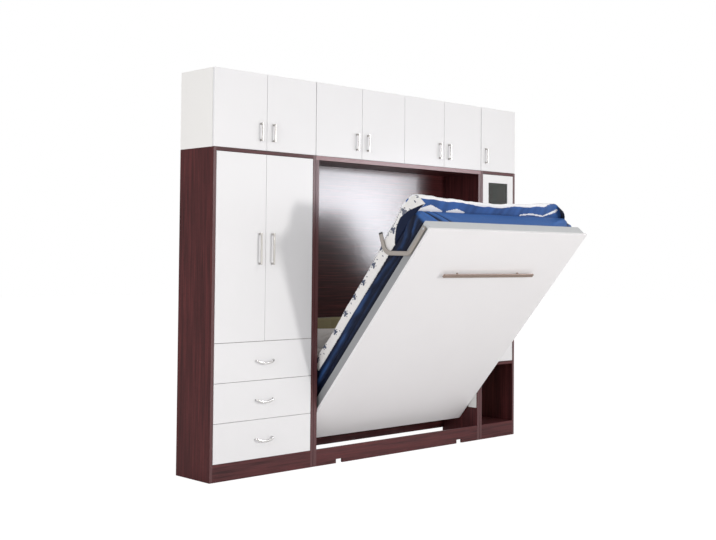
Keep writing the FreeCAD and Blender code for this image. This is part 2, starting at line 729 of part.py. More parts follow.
BAR_Z = "(panel_low + bed_bar_place)"
bed_posts = []
for side, sign in (("left", "-"), ("right", "+")):
    bed_posts.append(rod(f"bed_handle_post_{side}",
                         (f"{BED_MIDDLE} {sign} bed_post_span / 2", "panel_setback - bed_bar_stand", BAR_Z),
                         "bed_post_radius", "bed_bar_stand", Y_AXIS))
node("bed_handle", [
    board("bed_handle_bar",
          (f"{BED_MIDDLE} - bed_bar_length / 2", "panel_setback - bed_bar_stand - bed_bar_thick",
           f"{BAR_Z} - bed_bar_height / 2"),
          ("bed_bar_length", "bed_bar_thick", "bed_bar_height")),
] + bed_posts, BED)

# Pivot plates on the niche sides, each with its pin through the side rail's bore
PLATE_Y = "pivot_plate_front"
PLATE_Z = "(pivot_height - pivot_plate_height / 2 - pivot_plate_rise / 2)"
pivot_plates = []
for side in ("left", "right"):
    x_low = NICHE_LEFT if side == "left" else f"({NICHE_RIGHT} - pivot_plate)"
    plate = board(f"pivot_plate_{side}_sheet", (x_low, PLATE_Y, PLATE_Z),
                  ("pivot_plate", "pivot_plate_width", "pivot_plate_height"))
    gap = "(panel_gap + rail_inset - pivot_plate - leg_gap / 2)"
    boss_x = f"({NICHE_LEFT} + pivot_plate)"
    if side == "right":
        boss_x = f"({NICHE_RIGHT} - pivot_plate - {gap})"
    boss = rod(f"pivot_boss_{side}", (boss_x, "pivot_back", "pivot_height"), "pivot_boss_radius", gap)
    pin_long = "(panel_gap + rail_inset + rail_width - pivot_plate)"
    pin_x = f"({NICHE_LEFT} + pivot_plate)"
    if side == "right":
        pin_x = f"({NICHE_RIGHT} - pivot_plate - {pin_long})"
    pivot_pin = rod(f"pivot_pin_{side}", (pin_x, "pivot_back", "pivot_height"), "pin_radius", pin_long)
    pivot_plates.append(fuse(f"pivot_plate_{side}", [plate, boss, pivot_pin]))
node("pivot_plates", pivot_plates)

# Gas springs: an eye and cylinder hung from an anchor on each niche side, and a rod with its own eye
GAS_LANE = "(panel_gap + gas_lane)"
STUD_Y = "(panel_setback + gas_stud_deep)"
STUD_Z = "(panel_low + gas_stud_along)"
anchors = []
studs = []
for side in ("left", "right"):
    x_low = NICHE_LEFT if side == "left" else f"({NICHE_RIGHT} - pivot_plate)"
    foot = board(f"gas_anchor_{side}_foot", (x_low, "gas_anchor_back - gas_eye_radius * 2",
                                             "gas_anchor_height - gas_eye_radius * 2"),
                 ("pivot_plate", "gas_eye_radius * 4", "gas_eye_radius * 4"))
    reach = f"({GAS_LANE} + gas_eye_thick / 2 + gas_open_gap)"
    stud_x = NICHE_LEFT if side == "left" else f"({NICHE_RIGHT} - {reach})"
    stud = rod(f"gas_anchor_{side}_stud", (stud_x, "gas_anchor_back", "gas_anchor_height"),
               "gas_stud_radius", reach)
    anchors.append(fuse(f"gas_anchor_{side}", [foot, stud]))
    gap = f"(panel_gap + rail_inset - {GAS_LANE} - gas_eye_thick / 2 - gas_open_gap)"
    start = f"({FRAME_X} - {gap})" if side == "left" else f"({FRAME_X} + {FRAME_WIDE})"
    studs.append(rod(f"gas_stud_{side}", (start, STUD_Y, STUD_Z), "gas_stud_radius", gap))
node("gas_spring_anchors", anchors)
node("gas_spring_studs", studs, BED)

# Each spring is modelled upright from its upper eye and then turned into its own line
gas_anchor = FreeCAD.Vector(0, S.gas_anchor_back, S.gas_anchor_height)
gas_stud = BED.multVec(FreeCAD.Vector(0, S.panel_setback + S.gas_stud_deep, S.panel_low + S.gas_stud_along))
gas_line = gas_stud - gas_anchor
gas_turn = math.degrees(math.atan2(-gas_line.y, gas_line.z))
GAS_SPAN = f"{gas_line.Length}"
EYE_X = "-gas_eye_thick / 2"
BODY_LOW = "gas_eye_radius / 2"
ROD_LOW = "(gas_body_length + gas_eye_radius / 2 - gas_rod_reach)"
ROD_LONG = f"({GAS_SPAN} - {ROD_LOW} - gas_eye_radius / 2)"
BORE_LONG = "gas_eye_thick + 2 * overrun"
cylinders = []
rods = []
for side, lane in (("left", f"({NICHE_LEFT} + {GAS_LANE})"), ("right", f"({NICHE_RIGHT} - {GAS_LANE})")):
    body = fuse(f"gas_body_{side}", [
        rod(f"gas_eye_{side}", (EYE_X, "0", "0"), "gas_eye_radius", "gas_eye_thick"),
        rod(f"gas_barrel_{side}", ("0", "0", BODY_LOW), "gas_radius", "gas_body_length", Z_AXIS),
    ])
    cylinders.append(cut(f"gas_cylinder_{side}", body, [
        rod(f"gas_eye_bore_{side}", (f"{EYE_X} - overrun", "0", "0"), "gas_stud_radius + running_gap",
            BORE_LONG),
        rod(f"gas_barrel_bore_{side}", ("0", "0", "gas_eye_radius * 2"), "gas_rod_radius + running_gap",
            "gas_body_length", Z_AXIS),
    ]))
    slider = fuse(f"gas_slider_{side}", [
        rod(f"gas_low_eye_{side}", (EYE_X, "0", GAS_SPAN), "gas_eye_radius", "gas_eye_thick"),
        rod(f"gas_bar_{side}", ("0", "0", ROD_LOW), "gas_rod_radius", ROD_LONG, Z_AXIS),
    ])
    rods.append(cut(f"gas_rod_{side}", slider, [
        rod(f"gas_low_bore_{side}", (f"{EYE_X} - overrun", "0", GAS_SPAN), "gas_stud_radius + running_gap",
            BORE_LONG),
    ]))
    for piece in (cylinders[-1], rods[-1]):
        piece.Placement = FreeCAD.Placement(FreeCAD.Vector(0, 0, 0), FreeCAD.Rotation(X_AXIS, gas_turn))
        for axis, formula in zip("xyz", (lane, "gas_anchor_back", "gas_anchor_height")):
            piece.setExpression(f"Placement.Base.{axis}", bound(formula))
node("gas_spring_cylinders", cylinders)
node("gas_spring_rods", rods)

# Legs: two bent flat-oval tubes on one cross shaft, folded along the side rails
leg_pivot = FreeCAD.Vector(0, S.panel_setback + S.leg_pivot_deep, S.panel_low + S.leg_pivot_along)


def leg_corner(x, along, deep):
    """A corner of the leg as a point of the closed bed, from its pivot towards the head end."""
    return FreeCAD.Vector(x, leg_pivot.y + deep, leg_pivot.z - along)


def rounded_path(points, radii):
    """Straight runs joined by tangent arcs, one radius for each inner point."""
    edges = []
    start = points[0]
    for before, corner, after, radius in zip(points, points[1:], points[2:], radii):
        into = (corner - before).normalize()
        out = (after - corner).normalize()
        turn = math.acos(into.dot(out))
        back = radius * math.tan(turn / 2)
        arc_start = corner - into * back
        arc_end = corner + out * back
        bisector = (out - into).normalize()
        centre = corner + bisector * (radius / math.cos(turn / 2))
        middle = centre - bisector * radius
        edges.append(Part.LineSegment(start, arc_start).toShape())
        edges.append(Part.Arc(arc_start, middle, arc_end).toShape())
        start = arc_end
    edges.append(Part.LineSegment(start, points[-1]).toShape())
    return Part.Wire(edges)


def oval(centre, way, width, thick):
    """A flat-oval wire about a centre: thick along X, wide across, square to the way."""
    across = way.cross(X_AXIS).normalize()
    reach = (width - thick) / 2
    half = thick / 2
    signs = ((1, 1), (-1, 1), (-1, -1), (1, -1))
    corners = [centre + across * (reach * a) + X_AXIS * (half * b) for a, b in signs]
    ends = (centre - across * (width / 2), centre + across * (width / 2))
    return Part.Wire([
        Part.LineSegment(corners[0], corners[1]).toShape(),
        Part.Arc(corners[1], ends[0], corners[2]).toShape(),
        Part.LineSegment(corners[2], corners[3]).toShape(),
        Part.Arc(corners[3], ends[1], corners[0]).toShape(),
    ])


leg_tubes = []
leg_feet = []
leg_offset = S.panel_gap + (S.rail_inset - S.leg_gap - S.leg_thick) + S.leg_thick / 2
for x in (niche_left + leg_offset, niche_right - leg_offset):
    pivot = FreeCAD.Vector(x, leg_pivot.y, leg_pivot.z)
    corners = [
        pivot,
        leg_corner(x, S.leg_knee_along, -S.leg_knee_deep),
        leg_corner(x, S.leg_hook_along, S.leg_hook_deep),
        leg_corner(x, S.leg_end_along, S.leg_end_deep),
    ]
    path = rounded_path(corners, (S.leg_bend_radius, S.leg_hook_radius))
    way = (corners[1] - corners[0]).normalize()
    tube = path.makePipeShell([oval(corners[0], way, S.leg_width, S.leg_thick)], True, False)
    eye = Part.makeCylinder(S.leg_width / 2, S.leg_thick, pivot - X_AXIS * (S.leg_thick / 2), X_AXIS)
    bore = Part.makeCylinder(S.leg_shaft_radius, S.leg_thick + 2 * S.overrun,
                             pivot - X_AXIS * (S.leg_thick / 2 + S.overrun), X_AXIS)
    leg_tubes.append(tube.fuse(eye).cut(bore).removeSplitter())
    end = corners[-1]
    way = (corners[-1] - corners[-2]).normalize()
    cap = Part.Face(oval(end, way, S.leg_width, S.leg_thick)).extrude(way * S.leg_foot_length)
    leg_feet.append(cap)
node_shape("leg_tubes", [t.Solids[0] for t in leg_tubes], BED)
node_shape("leg_feet", leg_feet, BED)
SHAFT_OUT = "(panel_gap + rail_inset - leg_gap - leg_thick)"
leg_shaft = body_at("leg_shaft_tube", (f"{NICHE_LEFT} + {SHAFT_OUT}", LEG_Y, LEG_Z))
shaft_rings = circles(leg_shaft, "leg_shaft_profile", "YZ_Plane",
                      (("0", "0", "leg_shaft_radius"), ("0", "0", "leg_shaft_radius - leg_shaft_wall")))
pad(leg_shaft, "leg_shaft_length", shaft_rings, f"{NICHE_RIGHT} - {NICHE_LEFT} - 2 * {SHAFT_OUT}")
node("leg_shaft", [leg_shaft], BED)

# Bedding
mattress_left = frame_x + S.mattress_inset
mattress_right = frame_right - S.mattress_inset
mattress_y = frame_y + S.rail_height + S.soft_gap
mattress_z = (S.panel_low + S.mattress_head, S.panel_low + S.panel_length - S.mattress_foot)
CORNER_SHARES = (0.0, 0.012, 0.04, 0.12, 0.88, 0.96, 0.988, 1.0)
SWELL_SHARES = (0.68, 0.86, 0.96, 1.0, 1.0, 0.96, 0.86, 0.68)
DRAW_SHARE = 0.25


def pad_section(left, right, low, high, crown, bulge, level):
    """A closed outline of a pad at one level: flat below, arcs at its sides and over its top."""
    middle = (left + right) / 2
    half_up = (low + high) / 2
    corners = [FreeCAD.Vector(left, low, level), FreeCAD.Vector(right, low, level),
               FreeCAD.Vector(right, high, level), FreeCAD.Vector(left, high, level)]
    return Part.Wire([
        Part.LineSegment(corners[0], corners[1]).toShape(),
        Part.Arc(corners[1], FreeCAD.Vector(right + bulge, half_up, level), corners[2]).toShape(),
        Part.Arc(corners[2], FreeCAD.Vector(middle, high + crown, level), corners[3]).toShape(),
        Part.Arc(corners[3], FreeCAD.Vector(left - bulge, half_up, level), corners[0]).toShape(),
    ])


def ruled(sections):
    """A solid whose walls run straight from one section to the next."""
    return Part.makeLoft(sections, True, True)


mattress_top = mattress_y + S.mattress_thick
mattress_sections = []
for along, swell in zip(CORNER_SHARES, SWELL_SHARES):
    level = mattress_z[0] + (mattress_z[1] - mattress_z[0]) * along
    draw = (1 - swell) * S.mattress_thick * DRAW_SHARE
    mattress_sections.append(pad_section(mattress_left + draw, mattress_right - draw, mattress_y,
                                         mattress_top - S.mattress_crown - draw,
                                         S.mattress_crown * swell, S.mattress_bulge * swell, level))
shell = S.mattress_shell
mattress_core = Part.makeBox(
    mattress_right - mattress_left - 2 * shell,
    S.mattress_thick - S.mattress_crown - 2 * shell,
    mattress_z[1] - mattress_z[0] - 2 * shell,
    FreeCAD.Vector(mattress_left + shell, mattress_y + shell, mattress_z[0] + shell),
)
node_shape("mattress", [ruled(mattress_sections).cut(mattress_core)], BED)

# The duvet lies over the mattress, hangs down both of its sides and thickens to its folded foot end
duvet_low = mattress_top + S.soft_gap
duvet_z = (S.panel_low + S.duvet_head, S.panel_low + S.panel_length + S.duvet_foot_over)
duvet_left = mattress_left - S.mattress_bulge - S.duvet_side - S.soft_gap * 2
duvet_right = mattress_right + S.mattress_bulge + S.duvet_side + S.soft_gap * 2
DUVET_SHARES = (0.0, 0.02, 0.08, 0.27, 0.36, 0.55, 0.75, 0.86, 0.95, 0.985, 1.0)
DUVET_SWELL_SHARES = (0.55, 0.85, 1.0, 1.0, 1.0, 1.0, 1.0, 1.0, 1.0, 0.95, 0.8)
DUVET_RISE_SHARES = (0.0, 0.0, 0.0, 0.0, 0.45, 0.5, 0.6, 0.9, 1.0, 0.7, 0.3)
CORNER_UP_SHARE = 0.75
ARC_ALONG_SHARE = 0.25
ARC_UP_SHARE = 0.31


def duvet_section(level, swell, rise):
    """The duvet's outline at one level: over the mattress and down both of its sides."""
    thick = S.duvet_thick * swell + rise
    inner_left = duvet_left + S.duvet_side
    inner_right = duvet_right - S.duvet_side
    hem = duvet_low - S.duvet_overhang
    shoulder = duvet_low + thick / 2
    top = duvet_low + thick
    corner_y = duvet_low + thick * CORNER_UP_SHARE
    corner = 2 * S.duvet_side
    arc_x = corner * ARC_ALONG_SHARE
    arc_y = shoulder + (top - shoulder) * ARC_UP_SHARE
    line_points = [(duvet_left + corner, corner_y), (duvet_left, shoulder), (duvet_left, hem),
                   (inner_left, hem), (inner_left, duvet_low), (inner_right, duvet_low), (inner_right, hem),
                   (duvet_right, hem), (duvet_right, shoulder), (duvet_right - corner, corner_y)]
    ends = [FreeCAD.Vector(x, y, level) for x, y in line_points]
    left_arc = FreeCAD.Vector(duvet_left + arc_x, arc_y, level)
    right_arc = FreeCAD.Vector(duvet_right - arc_x, arc_y, level)
    crown = FreeCAD.Vector((duvet_left + duvet_right) / 2, top, level)
    runs = [Part.LineSegment(a, b).toShape() for a, b in zip(ends[1:-2], ends[2:-1])]
    return Part.Wire([
        Part.Arc(ends[0], left_arc, ends[1]).toShape(),
        *runs,
        Part.Arc(ends[-2], right_arc, ends[-1]).toShape(),
        Part.Arc(ends[-1], crown, ends[0]).toShape(),
    ])


def duvet_hollow(level, swell, rise):
    """The outline of the duvet's hollow at one level: a shell's thickness inside, peaked at its middle."""
    thick = S.duvet_thick * swell + rise
    low = duvet_low + S.duvet_shell
    edge = duvet_low + thick * CORNER_UP_SHARE - S.duvet_shell
    left = duvet_left + S.duvet_core_side
    right = duvet_right - S.duvet_core_side
    peak = ((left + right) / 2, duvet_low + thick - S.duvet_shell)
    corners = [(left, low), (right, low), (right, edge), peak, (left, edge)]
    points = [FreeCAD.Vector(x, y, level) for x, y in corners]
    return Part.makePolygon(points + points[:1])


duvet_sections = []
duvet_hollows = []
for along, swell, rise in zip(DUVET_SHARES, DUVET_SWELL_SHARES, DUVET_RISE_SHARES):
    level = duvet_z[0] + (duvet_z[1] - duvet_z[0]) * along
    duvet_sections.append(duvet_section(level, swell, rise * S.duvet_foot_rise))
    duvet_hollows.append(duvet_hollow(level, swell, rise * S.duvet_foot_rise))
duvet_core = ruled(duvet_hollows[1:-1])
node_shape("duvet", [ruled(duvet_sections).cut(duvet_core)], BED)

# Pillows stand against the headboard pad
headboard_face = S.unit_depth - S.niche_back_board - S.headboard_thick
PILLOW_SHARES = (0.0, 0.06, 0.2, 0.4, 0.6, 0.8, 0.94, 1.0)
PILLOW_EDGE_SHARE = 0.12
PILLOW_THIN_SHARE = 0.35


def pillow_section(middle_x, share):
    """A pillow's outline at one level: two shallow arcs that meet at its seams."""
    fullness = math.sin(math.pi * (PILLOW_EDGE_SHARE + (1 - 2 * PILLOW_EDGE_SHARE) * share))
    centre_y = headboard_face - S.soft_gap - S.pillow_thick / 2
    level = S.pillow_low + S.pillow_height * share
    half = S.pillow_length / 2 - (1 - fullness) * S.pillow_seam
    thick = S.pillow_thick / 2 * (PILLOW_THIN_SHARE + (1 - PILLOW_THIN_SHARE) * fullness)
    left = FreeCAD.Vector(middle_x - half, centre_y, level)
    right = FreeCAD.Vector(middle_x + half, centre_y, level)
    return Part.Wire([
        Part.Arc(left, FreeCAD.Vector(middle_x, centre_y - thick, level), right).toShape(),
        Part.Arc(right, FreeCAD.Vector(middle_x, centre_y + thick, level), left).toShape(),
    ])


pillow_solids = []
for middle_x in (bed_middle - S.pillow_offset, bed_middle + S.pillow_offset):
    pillow_solids.append(ruled([pillow_section(middle_x, share) for share in PILLOW_SHARES]))
node_shape("pillows", pillow_solids)

# Headboard pad: flat on the niche back, crowned and drawn in at its edges in front
pad_left = niche_left + S.headboard_margin
pad_right = niche_right - S.headboard_margin
pad_back = S.unit_depth - S.niche_back_board


def headboard_section(share, swell):
    """The pad's outline at one level: straight behind and at its ends, one long arc in front."""
    level = S.headboard_low + (S.headboard_high - S.headboard_low) * share
    shoulder = pad_back - S.headboard_thick * swell / 2
    ends = [FreeCAD.Vector(pad_right, shoulder, level), FreeCAD.Vector(pad_right, pad_back, level),
            FreeCAD.Vector(pad_left, pad_back, level), FreeCAD.Vector(pad_left, shoulder, level)]
    face = FreeCAD.Vector((pad_left + pad_right) / 2, pad_back - S.headboard_thick * swell, level)
    runs = [Part.LineSegment(a, b).toShape() for a, b in zip(ends, ends[1:])]
    return Part.Wire(runs + [Part.Arc(ends[-1], face, ends[0]).toShape()])


node_shape("headboard_pad", [
    ruled([headboard_section(share, swell) for share, swell in zip(CORNER_SHARES, SWELL_SHARES)]),
])

# Wall brackets: folded angles on the roof of the top cabinets, screwed to the wall through one hole each
BRACKET_SHARES = (-1.0, -1 / 3, 1 / 3, 1.0)
ANGLE = (
    ("-bracket_leg", "0"), ("0", "0"), ("0", "bracket_leg"), ("-bracket_sheet", "bracket_leg"),
    ("-bracket_sheet", "bracket_sheet"), ("-bracket_leg", "bracket_sheet"),
)
brackets = []
for number, share in enumerate(BRACKET_SHARES, start=1):
    left = f"({share} * ({UNIT_WIDTH} / 2 - bracket_inset) - bracket_width / 2)"
    bracket = body_at(f"bracket_{number}", (left, "unit_depth", "lower_height + top_height"))
    pad(bracket, f"bracket_{number}_angle", outline(bracket, f"bracket_{number}_profile", "YZ_Plane", ANGLE),
        "bracket_width")
    pocket(bracket, f"bracket_{number}_drilled",
           circles(bracket, f"bracket_{number}_hole", "XZ_Plane",
                   (("bracket_width / 2", "bracket_hole_drop", "bracket_hole"),)))
    brackets.append(bracket)
node("wall_brackets", brackets)

doc.recompute()

# Check every object, then write one file for each sub-part
faults = [obj.Label for obj in doc.Objects if {"Invalid", "Error"} & set(obj.State)]
if faults:
    raise RuntimeError(f"objects that failed to build: {faults}")
for piece in NODES:
    if piece.Shape.isNull() or not piece.Shape.isValid() or not piece.Shape.Solids:
        raise RuntimeError(f"{piece.Label} has no valid solid")
for piece in NODES:
    piece.Shape.exportStep(f"parts/{piece.Label}.step")
print(f"{len(NODES)} sub-parts, {sum(len(piece.Shape.Solids) for piece in NODES)} solids")
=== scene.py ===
"""The looks of a fold-down cabinet bed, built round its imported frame.

Every length is in metres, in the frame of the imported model: +X to the right, +Y to the wall, +Z up.
"""

import bpy  # noqa: E402
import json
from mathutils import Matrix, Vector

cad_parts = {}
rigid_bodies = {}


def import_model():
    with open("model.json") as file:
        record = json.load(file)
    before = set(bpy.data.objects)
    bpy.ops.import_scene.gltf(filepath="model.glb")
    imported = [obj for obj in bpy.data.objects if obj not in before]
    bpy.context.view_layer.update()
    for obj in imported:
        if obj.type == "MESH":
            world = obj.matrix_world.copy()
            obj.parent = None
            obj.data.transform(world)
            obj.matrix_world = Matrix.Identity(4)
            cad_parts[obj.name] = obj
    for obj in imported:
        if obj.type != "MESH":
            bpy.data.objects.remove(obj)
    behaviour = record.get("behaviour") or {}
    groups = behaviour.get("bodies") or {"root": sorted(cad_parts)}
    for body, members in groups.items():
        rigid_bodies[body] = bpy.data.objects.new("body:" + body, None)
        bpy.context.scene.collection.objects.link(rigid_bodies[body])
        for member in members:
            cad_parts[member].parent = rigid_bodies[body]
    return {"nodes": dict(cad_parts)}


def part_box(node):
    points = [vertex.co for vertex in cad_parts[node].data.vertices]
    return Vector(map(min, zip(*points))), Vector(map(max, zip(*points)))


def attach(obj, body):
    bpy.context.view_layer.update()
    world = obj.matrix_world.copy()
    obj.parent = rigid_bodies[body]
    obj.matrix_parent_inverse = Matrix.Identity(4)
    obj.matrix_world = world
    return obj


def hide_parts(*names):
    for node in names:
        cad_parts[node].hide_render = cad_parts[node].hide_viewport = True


for start_up in list(bpy.data.objects):
    bpy.data.objects.remove(start_up)
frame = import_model()

import json  # noqa: E402
import logging  # noqa: E402
import math  # noqa: E402
from dataclasses import dataclass, field  # noqa: E402
from enum import Enum  # noqa: E402
from typing import Any  # noqa: E402

import bmesh  # noqa: E402
import numpy as np  # noqa: E402
from mathutils import Matrix  # noqa: E402

LOG = logging.getLogger("cabinet_bed")
Array = np.ndarray
Rng = np.random.Generator
Node = bpy.types.Node
Socket = bpy.types.NodeSocket
Tree = bpy.types.NodeTree
Material = bpy.types.Material
Mesh = bpy.types.Mesh
Object = bpy.types.Object
Pair = tuple[float, float]
Point = tuple[float, float, float]
Profile = tuple[Pair, ...]
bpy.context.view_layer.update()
SEED = 20
# Points nearer than these are merged: in a new piece's mesh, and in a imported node's under its bevel
MERGE_GAP = 1e-6
WELD_GAP = 1e-5
# Edges sharper than this get a round
ROUNDED_FROM = math.radians(40)
# Settings of a Mix node that multiplies two colours, and of one that goes from one colour to the other
TINT = {"data_type": "RGBA", "blend_type": "MULTIPLY", 0: 1.0}
BLEND = {"data_type": "RGBA"}


class Grain(Enum):
    """The way that the long side of a surface pattern runs."""

    UPRIGHT = "upright"
    ACROSS = "across"
    ALONG_BED = "along_bed"


class Edge(Enum):
    """The small round on a part's edges, in metres, by how the part was made."""

    AS_PACKED = 0.0
    STAMPED = 0.0004
    ROLLED = 0.0005
    CAST = 0.0006
    FOLDED = 0.0008
    BANDED = 0.0009
    PLANED = 0.001
    PAINTED = 0.0012
    BROAD = 0.0015


def joined(x: Array, y: Array, z: Array) -> Array:
    """Three arrays of coordinates, brought to one shape and joined as points."""
    return np.stack(np.broadcast_arrays(x, y, z), axis=-1)


@dataclass(frozen=True)
class BedTilt:
    """The bed's own coordinates: across, along from the panel's pivot end, and deep from its face."""

    angle: float = math.radians(39.94)
    pivot_back: float = 0.049
    pivot_height: float = 0.408
    face_back: float = 0.003
    foot_height: float = 0.131

    def place(self, across: Array, along: Array, deep: Array) -> Array:
        """Points of the closed bed, turned about its pivot pins to the tilt of rest.

        The depth and the height over the pivot are turned by the tilt angle, as a plane rotation.

        Args:
            across: Place along the unit's width.
            along: Distance from the panel's pivot end.
            deep: Distance behind the panel's face.

        Returns:
            An array of points, with a last axis of three.
        """
        back = self.face_back + deep - self.pivot_back
        up = self.foot_height + along - self.pivot_height
        cos, sin = math.cos(self.angle), math.sin(self.angle)
        y = self.pivot_back + back * cos - up * sin
        return joined(across, y, self.pivot_height + back * sin + up * cos)


TILT = BedTilt()


# Materials


def linear(colour: str) -> tuple[float, float, float, float]:
    """Turns an sRGB colour to linear light.

    Args:
        colour: Six hex digits.

    Returns:
        Red, green and blue, with full alpha.
    """
    parts = [int(colour[i:i + 2], 16) / 255 for i in (0, 2, 4)]
    lit = [p / 12.92 if p <= 0.04045 else ((p + 0.055) / 1.055) ** 2.4 for p in parts]
    return (lit[0], lit[1], lit[2], 1.0)


def fit(tree: Tree, node: Node, settings: dict[Any, Any]) -> Node:
    """Gives a node its settings and links.

    Args:
        tree: The node tree that holds the node.
        node: The node.
        settings: Values by the name of a property of the node, or else of an input or its number. A socket is
            linked to that input, and so is a node, by its first output.

    Returns:
        The same node.
    """
    for key, value in settings.items():
        if isinstance(value, Node):
            value = value.outputs[0]
        if isinstance(value, Socket):
            tree.links.new(value, node.inputs[key])
        elif isinstance(key, str) and hasattr(node, key):
            setattr(node, key, value)
        else:
            node.inputs[key].default_value = value
    return node


def add(tree: Tree, kind: str, settings: dict[Any, Any] | None = None) -> Node:
    """Adds a node of a kind, named without its prefix, with its settings and links."""
    return fit(tree, tree.nodes.new(f"ShaderNode{kind}"), settings or {})


def cleared(owner: Material | bpy.types.World) -> Tree:
    """Switches the nodes of a material or a world on, and empties them.

    Args:
        owner: The material or the world.

    Returns:
        Its empty node tree.
    """
    owner.use_nodes = True
    owner.node_tree.nodes.clear()
    return owner.node_tree


def seen_directly(tree: Tree) -> Node:
    """Tells the camera's rays from the others.

    Args:
        tree: The nodes of a material or a world.

    Returns:
        A node that gives 1 where a ray comes from the camera or through glass, and else 0.
    """
    path = add(tree, "LightPath")
    return add(tree, "Math", {"operation": "MAXIMUM", 0: path.outputs["Is Camera Ray"],
                              1: path.outputs["Is Transmission Ray"]})


@dataclass(frozen=True)
class Finish:
    """A surface's name, base colour and gloss. Each kind of surface adds its own pattern.

    The tone is how far clouds darken and lighten the colour, as two factors. The gloss is how far marks shift
    the roughness down and up, and the relief is a strength and a height.
    """

    name: str
    colour: str
    roughness: float = 0.5
    metallic: float = 0.0
    grain: Grain = Grain.UPRIGHT
    tone: Pair = (0.97, 1.0)
    gloss: Pair = (-0.04, 0.06)
    relief: Pair = (0.1, 0.0004)

    def material(self) -> Material:
        """Makes the finish's material at its first use.

        Returns:
            The material.
        """
        found = bpy.data.materials.get(self.name)
        if found is not None:
            return found
        made = bpy.data.materials.new(self.name)
        tree = cleared(made)
        shader = add(tree, "BsdfPrincipled", {"Base Color": linear(self.colour), "Roughness": self.roughness,
                                              "Metallic": self.metallic})
        add(tree, "OutputMaterial", {"Surface": shader})
        self.paint(tree, shader, self.place(tree))
        return made

    def place(self, tree: Tree) -> Node:
        """Turns object coordinates so that the pattern's long way is their Z.

        Args:
            tree: The material's nodes.

        Returns:
            The node that gives the turned coordinates.
        """
        turns = {Grain.UPRIGHT: (0.0, 0.0, 0.0), Grain.ACROSS: (0.0, math.pi / 2, 0.0),
                 Grain.ALONG_BED: (-TILT.angle, 0.0, 0.0)}
        return add(tree, "Mapping", {"Rotation": turns[self.grain],
                                     "Vector": add(tree, "TexCoord").outputs["Object"]})

    def cover(self, tree: Tree, shader: Node, colour: Any, clouds: Node | None, marks: Node | None,
              height: Node) -> Node:
        """Feeds the shader its colour, gloss and relief.

        Args:
            tree: The material's nodes.
            shader: Its principled shader.
            colour: The colour, as a value or a socket.
            clouds: What darkens and lightens the colour, if anything.
            marks: What shifts the roughness, if anything.
            height: The height of the relief.

        Returns:
            The relief, for a coat that follows it.
        """
        if clouds is not None:
            tone = add(tree, "MapRange", {"To Min": self.tone[0], "To Max": self.tone[1], "Value": clouds})
            colour = add(tree, "Mix", TINT | {6: colour, 7: tone}).outputs[2]
        if marks is not None:
            gloss = add(tree, "MapRange", {"To Min": self.roughness + self.gloss[0],
                                           "To Max": self.roughness + self.gloss[1], "Value": marks})
            fit(tree, shader, {"Roughness": gloss})
        relief = add(tree, "Bump", {"Strength": self.relief[0], "Distance": self.relief[1], "Height": height})
        fit(tree, shader, {"Base Color": colour, "Normal": relief})
        return relief

    def paint(self, tree: Tree, shader: Node, place: Node) -> None:
        """Adds the pattern of this kind of surface."""
        raise NotImplementedError


@dataclass(frozen=True)
class LacqueredBoard(Finish):
    """Sprayed board: a smooth satin lacquer with a faint orange peel and hand marks in its gloss.

    The peel is drawn coarser than the real 1 mm, so that it shows.
    """

    relief: Pair = (0.06, 0.0004)
    peel_mm: float = 4.0
    clouds_per_metre: float = 3.0
    marks_per_metre: float = 22.0
    clear_coat: float = 0.15
    coat_roughness: float = 0.2

    def paint(self, tree: Tree, shader: Node, place: Node) -> None:
        """Cloudy tone, hand marks and orange peel.

        Args:
            tree: The material's nodes.
            shader: Its principled shader.
            place: Object coordinates, with the pattern's long way as Z.
        """
        clouds = add(tree, "TexNoise", {"Scale": self.clouds_per_metre, "Detail": 4.0, "Vector": place})
        marks = add(tree, "TexNoise", {"Scale": self.marks_per_metre, "Detail": 5.0, "Roughness": 0.6,
                                       "Vector": place})
        peel = add(tree, "TexNoise", {"Scale": 1000.0 / self.peel_mm, "Detail": 2.0, "Vector": place})
        self.cover(tree, shader, linear(self.colour), clouds, marks, peel)
        fit(tree, shader, {"Specular IOR Level": 0.3, "Coat Weight": self.clear_coat,
                           "Coat Roughness": self.coat_roughness})


